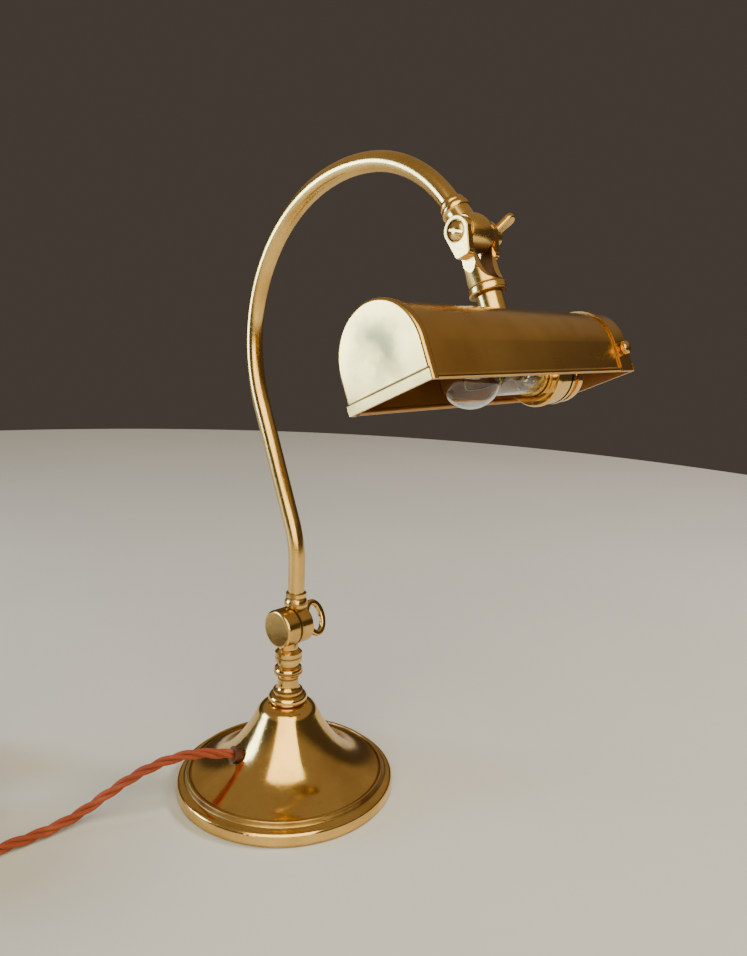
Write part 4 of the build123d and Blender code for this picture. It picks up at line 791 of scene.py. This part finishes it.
class LAMP_OT_brass(bpy.types.Operator):
    """Gives the base, the arm, the knuckles and their fastenings their aged polish"""

    bl_idname = "lamp.brass"
    bl_label = "Brass"

    def execute(self, context):
        colours = context.scene.lamp_finish
        dress(brass_finish("base_brass", colours, dirt_and_shade=base_dirt), "base_shell")
        turned = brass_finish("turned_brass", colours, cloud_scale=45.0, dirt_and_shade=neck_dirt)
        dress(turned, "neck_collar", "neck_knuckle", "arm_foot", "key_washer")
        dress(brass_finish("tube_brass", colours, gloss=(0.15, 0.26)), "arm_tube")
        cast = brass_finish(
            "cast_brass", colours, gloss=(0.17, 0.30), cloud_scale=60.0, dirt_and_shade=fork_dirt_and_shade, waves=0.15
        )
        dress(cast, "fork", "arm_eye", "arm_ferrule", "spigot", "wing_nut", "pivot_screw", "pivot_washer")
        dress(brass_finish("key_brass", colours, cloud_scale=60.0), "ring_key")
        dull = brass_finish("dull_brass", colours, gloss=(0.24, 0.42), dull=0.9)
        dress(dull, "base_nipple", "base_nut", "base_washer", "thumb_nuts", "spigot_nut", "lamp_carrier")
        return {"FINISHED"}


class LAMP_OT_shade(bpy.types.Operator):
    """Gives the shade's sheet and its two end caps their finish"""

    bl_idname = "lamp.shade"
    bl_label = "Shade"

    def execute(self, context):
        sheet = shade_finish("shade_sheet", context.scene.lamp_finish)
        dress(sheet, "shade_barrel", "left_end_cap", "right_end_cap")
        return {"FINISHED"}


class LAMP_OT_thumb_screws(bpy.types.Operator):
    """Models the knurled thumb screws at the shade's right end"""

    bl_idname = "lamp.thumb_screws"
    bl_label = "Thumb screws"

    def execute(self, context):
        deselect()
        bpy.ops.mesh.primitive_cylinder_add(
            vertices=2 * THUMB_KNURLS,
            radius=THUMB_RADIUS,
            depth=THUMB_KNOB_DEPTH,
            location=(0, 0, THUMB_SEAT + THUMB_KNOB_MIDDLE),
        )
        knob = context.object
        bpy.ops.object.transform_apply(location=True)
        bpy.ops.object.mode_set(mode="EDIT")

        def on_ridge(face):
            turn = math.atan2(face.center.y, face.center.x) / (2 * math.pi) * 2 * THUMB_KNURLS
            return abs(face.normal.z) < 0.1 and math.floor(turn) % 2 == 0

        select_faces(knob, on_ridge)
        bpy.ops.mesh.extrude_faces_move(TRANSFORM_OT_shrink_fatten={"value": THUMB_KNURL_HEIGHT})
        select_faces(knob, lambda face: face.normal.z > 0.9 and face.area > THUMB_END_AREA)
        for inset, rise in THUMB_DOME:
            bpy.ops.mesh.inset(thickness=inset)
            bpy.ops.transform.translate(value=(0, 0, rise))
        select_faces(knob, lambda face: face.normal.z < -0.9 and face.area > THUMB_END_AREA)
        bpy.ops.mesh.inset(thickness=THUMB_FOOT_STEP)
        bpy.ops.transform.translate(value=(0, 0, -THUMB_FOOT_DEPTH))
        bpy.ops.mesh.inset(thickness=THUMB_RADIUS - THUMB_FOOT_STEP - THUMB_SHANK)
        bpy.ops.mesh.extrude_region_move(TRANSFORM_OT_translate={"value": (0, 0, THUMB_TIP - THUMB_SEAT)})
        bpy.ops.object.mode_set(mode="OBJECT")
        apply_modifier(knob, "BEVEL", width=0.07 * MM, segments=2, limit_method="ANGLE", angle_limit=0.6)
        colours = context.scene.lamp_finish
        knurled = brass_finish("knurled_brass", colours, gloss=(0.12, 0.28), cloud_scale=120.0)
        knob.data.materials.append(knurled)
        for name, way in (("front_thumb_screw", -SHADE_BACK), ("back_thumb_screw", SHADE_BACK)):
            screw = knob.copy()
            screw.data = knob.data.copy()
            screw.name = name + "_knurled"
            context.scene.collection.objects.link(screw)
            turn = way.to_track_quat("Z", "X").to_matrix().to_4x4()
            screw.matrix_world = Matrix.Translation(THUMB_CENTRE) @ turn
            settle(screw, 30)
            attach(screw, name)
            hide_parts(name)
        bpy.data.objects.remove(knob)
        return {"FINISHED"}


class LAMP_OT_lampholder(bpy.types.Operator):
    """Finishes the lampholder and the small round bulb"""

    bl_idname = "lamp.lampholder"
    bl_label = "Lampholder and bulb"

    def execute(self, context):
        colours = context.scene.lamp_finish
        bright = brass_finish("bright_brass", colours, gloss=(0.06, 0.15), dull=0.25)
        dress(bright, "holder_body", "holder_ring", "holder_cap", "contact_plungers")
        dress(brass_finish("satin_brass", colours, gloss=(0.22, 0.34), dull=0.4), "bulb_cap")
        porcelain = plain_finish("porcelain", (0.62, 0.58, 0.50), (0.74, 0.71, 0.64), 0.22, 90.0)
        dress(porcelain, "contact_block")
        dress(glass_finish("bulb_glass", (0.96, 0.96, 0.95), 0.0), "bulb_glass")
        dress(glass_finish("stem_glass", (0.90, 0.92, 0.91), 0.03), "lamp_stem")
        dark, light = (0.09, 0.09, 0.09), (0.22, 0.21, 0.20)
        dress(plain_finish("tungsten", dark, light, 0.35, 900.0, metallic=1.0), "filament")
        return {"FINISHED"}


class LAMP_OT_base_inside(bpy.types.Operator):
    """Finishes the weight, the knuckle's friction washer and the flex's bush"""

    bl_idname = "lamp.base_inside"
    bl_label = "Weight, washer and bush"

    def execute(self, context):
        dark, light = (0.022, 0.021, 0.020), (0.060, 0.055, 0.050)
        iron = plain_finish("cast_iron", dark, light, 0.62, 160.0, metallic=0.6, relief=0.0004)
        dress(iron, "base_weight")
        leather = plain_finish("leather", (0.07, 0.035, 0.018), (0.16, 0.085, 0.042), 0.72, 380.0)
        dress(leather, "knuckle_washer")
        dress(moulded_finish("bush", (0.060, 0.019, 0.012), 0.50), "cord_bush")
        return {"FINISHED"}


class LAMP_OT_felt(bpy.types.Operator):
    """Cuts the felt pad under the base"""

    bl_idname = "lamp.felt"
    bl_label = "Felt pad"

    def execute(self, context):
        sizes = context.scene.lamp_sizes
        colours = context.scene.lamp_finish
        deselect()
        bpy.ops.mesh.primitive_cylinder_add(
            vertices=PAD_SIDES,
            radius=sizes.pad_radius,
            depth=sizes.pad_thickness,
            location=(0, 0, sizes.pad_thickness / 2),
        )
        pad = context.object
        pad.name = "felt_pad"
        bpy.ops.object.mode_set(mode="EDIT")
        select_faces(pad, lambda face: abs(face.normal.z) > 0.9)
        for inset in PAD_RINGS:
            bpy.ops.mesh.inset(thickness=inset, use_individual=True)
        bpy.ops.object.mode_set(mode="OBJECT")
        apply_modifier(pad, "BEVEL", width=0.45 * MM, segments=3, limit_method="ANGLE", angle_limit=0.8)
        settle(pad, 50)
        nap = {"sheen_weight": 0.5, "sheen_roughness": 0.5}
        felt = Finish("felt", roughness=0.95, specular_ior_level=0.15, **nap)
        place = felt.place()
        fibre = felt.noise(place, 900.0, detail=5.0, roughness=0.7, distortion=1.5)
        worn = felt.noise(place, 35.0)
        darker = tuple(channel * 0.45 for channel in colours.felt)
        lighter = tuple(channel * 1.5 + 0.008 for channel in colours.felt)
        tone = felt.mix(felt.between(fibre, 0.3, 0.7), darker, colours.felt)
        felt.set("Base Color", felt.mix(felt.between(worn, 0.5, 0.75, 0.0, 0.6), tone, lighter))
        felt.set("Normal", felt.bump(fibre, 0.0003, 0.8))
        pad.data.materials.append(felt.material)
        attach(pad, "base")
        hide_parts("base_pad")
        return {"FINISHED"}


class LAMP_OT_wires(bpy.types.Operator):
    """Threads the braided wires inside the base, the arm and the shade"""

    bl_idname = "lamp.wires"
    bl_label = "Inner wires"

    def execute(self, context):
        sizes = context.scene.lamp_sizes
        colours = context.scene.lamp_finish
        braid = braid_finish("inner_braid", colours.flex, colours.flex_shadow)
        in_shade = []
        for x, up in LAMP_WIRE:
            in_shade.append(tuple((SHADE_OPENING + SIDE * x * MM + SHADE_UP * up * MM) / MM))
        routes = (
            ("base_wire", BASE_WIRE, sizes.flex_diameter / 2, "base", "base_flex"),
            ("arm_wire", ARM_WIRE, sizes.flex_diameter / 2, "arm", "arm_flex"),
            ("shade_wire", in_shade, sizes.wire_diameter / 2, "head", "lamp_wire"),
        )
        for name, points, radius, body, node in routes:
            wire, _ = twisted_flex(name, points, radius, radius * 10, cores=2)
            wire.data.materials.append(braid)
            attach(wire, body)
            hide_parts(node)
        return {"FINISHED"}


class LAMP_OT_plug(bpy.types.Operator):
    """Finishes the plug and its sleeve"""

    bl_idname = "lamp.plug"
    bl_label = "Plug"

    def execute(self, context):
        colours = context.scene.lamp_finish
        dress(moulded_finish("plug_shell", colours.plug, 0.34), "plug_cover", "plug_base")
        sleeve = moulded_finish(
            "plug_sleeve", colours.plug, 0.55, ribs=lambda finish: finish.parts(finish.place())[0]
        )
        dress(sleeve, "plug_sleeve")
        pins = brass_finish("pin_brass", colours, gloss=(0.14, 0.28), dull=0.3, cloud_scale=90.0)
        dress(pins, "plug_pins")
        dark, light = (0.38, 0.37, 0.36), (0.58, 0.57, 0.55)
        dress(plain_finish("screw_steel", dark, light, 0.32, 300.0, metallic=1.0), "plug_screw")
        return {"FINISHED"}


class LAMP_OT_tie(bpy.types.Operator):
    """Straps the coil of spare flex"""

    bl_idname = "lamp.tie"
    bl_label = "Coil tie"

    def execute(self, context):
        reach = (TIE_REACH[1] - TIE_REACH[0]) * MM
        rise = (TIE_RISE[1] - TIE_RISE[0]) * MM
        middle = (TIE_REACH[0] + TIE_REACH[1]) / 2 * MM
        mid_height = (TIE_RISE[0] + TIE_RISE[1]) / 2 * MM
        centre = Vector((*COIL_CENTRE, 0)) * MM
        deselect()
        bpy.ops.mesh.primitive_cube_add(size=1.0, location=(middle, 0, mid_height))
        strap = context.object
        strap.name = "coil_strap"
        strap.scale = (reach, TIE_WIDTH * MM, rise)
        bpy.ops.object.transform_apply(location=True, scale=True)
        bpy.ops.object.mode_set(mode="EDIT")
        select_faces(strap, lambda face: abs(face.normal.y) > 0.9)
        bpy.ops.mesh.delete(type="ONLY_FACE")
        bpy.ops.object.mode_set(mode="OBJECT")
        corner = TIE_CORNER * MM
        apply_modifier(strap, "BEVEL", width=corner, segments=6, limit_method="ANGLE", angle_limit=0.8)
        apply_modifier(strap, "SOLIDIFY", thickness=TIE_WALL * MM, offset=-1.0, use_even_offset=True)
        apply_modifier(strap, "BEVEL", width=0.18 * MM, segments=2, limit_method="ANGLE", angle_limit=1.2)
        deselect()
        outwards, up = TIE_FLAP_SHIFT
        bpy.ops.mesh.primitive_cube_add(
            size=1.0, location=(middle + outwards * MM, 0, (TIE_RISE[1] + up) * MM)
        )
        flap = context.object
        flap.scale = Vector(TIE_FLAP) * MM
        bpy.ops.object.transform_apply(location=True, scale=True)
        apply_modifier(flap, "BEVEL", width=0.3 * MM, segments=2)
        deselect()
        flap.select_set(True)
        strap.select_set(True)
        context.view_layer.objects.active = strap
        bpy.ops.object.join()
        strap.matrix_world = Matrix.Translation(centre) @ Matrix.Rotation(TIE_ANGLE, 4, "Z")
        settle(strap, 40)
        colour = context.scene.lamp_finish.strap
        woven = Finish("woven_strap", roughness=0.85, sheen_weight=0.3, sheen_roughness=0.5)
        x, y, z = woven.parts(woven.place(centre, (0, 0, -TIE_ANGLE)))
        warp = woven.math("SINE", woven.math("MULTIPLY", y, TIE_WARP))
        weft = woven.math("SINE", woven.math("MULTIPLY", woven.math("ADD", x, z), TIE_WEFT))
        weave = woven.math("MULTIPLY_ADD", woven.math("MULTIPLY", warp, weft), 0.5, 0.5)
        lighter = tuple(channel * 2.4 + 0.01 for channel in colour)
        woven.set("Base Color", woven.mix(weave, colour, lighter))
        woven.set("Normal", woven.bump(weave, 0.00015, 0.7))
        strap.data.materials.append(woven.material)
        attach(strap, "base")
        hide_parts("coil_tie")
        return {"FINISHED"}


CLASSES = (
    LampFinish,
    LampSizes,
    LampStage,
    LAMP_OT_stage,
    LAMP_OT_tie,
    LAMP_OT_flex,
    LAMP_OT_brass,
    LAMP_OT_shade,
    LAMP_OT_thumb_screws,
    LAMP_OT_lampholder,
    LAMP_OT_base_inside,
    LAMP_OT_felt,
    LAMP_OT_wires,
    LAMP_OT_plug,
)
STEPS = (
    "stage",
    "tie",
    "flex",
    "brass",
    "shade",
    "thumb_screws",
    "lampholder",
    "base_inside",
    "felt",
    "wires",
    "plug",
)


class LAMP_PT_sidebar(bpy.types.Panel):
    """Lists the lamp's pieces"""

    bl_label = "Desk lamp"
    bl_idname = "LAMP_PT_sidebar"
    bl_space_type = "VIEW_3D"
    bl_region_type = "UI"
    bl_category = "Lamp"

    def draw(self, context):
        for step in STEPS:
            self.layout.operator("lamp." + step)


def register():
    for item in (*CLASSES, LAMP_PT_sidebar):
        bpy.utils.register_class(item)
    bpy.types.Scene.lamp_finish = PointerProperty(type=LampFinish)
    bpy.types.Scene.lamp_sizes = PointerProperty(type=LampSizes)
    bpy.types.Scene.lamp_stage = PointerProperty(type=LampStage)


def unregister():
    del bpy.types.Scene.lamp_stage
    del bpy.types.Scene.lamp_sizes
    del bpy.types.Scene.lamp_finish
    for item in reversed((*CLASSES, LAMP_PT_sidebar)):
        bpy.utils.unregister_class(item)


def main():
    register()
    for step in STEPS:
        getattr(bpy.ops.lamp, step)()


if __name__ == "__main__":
    main()
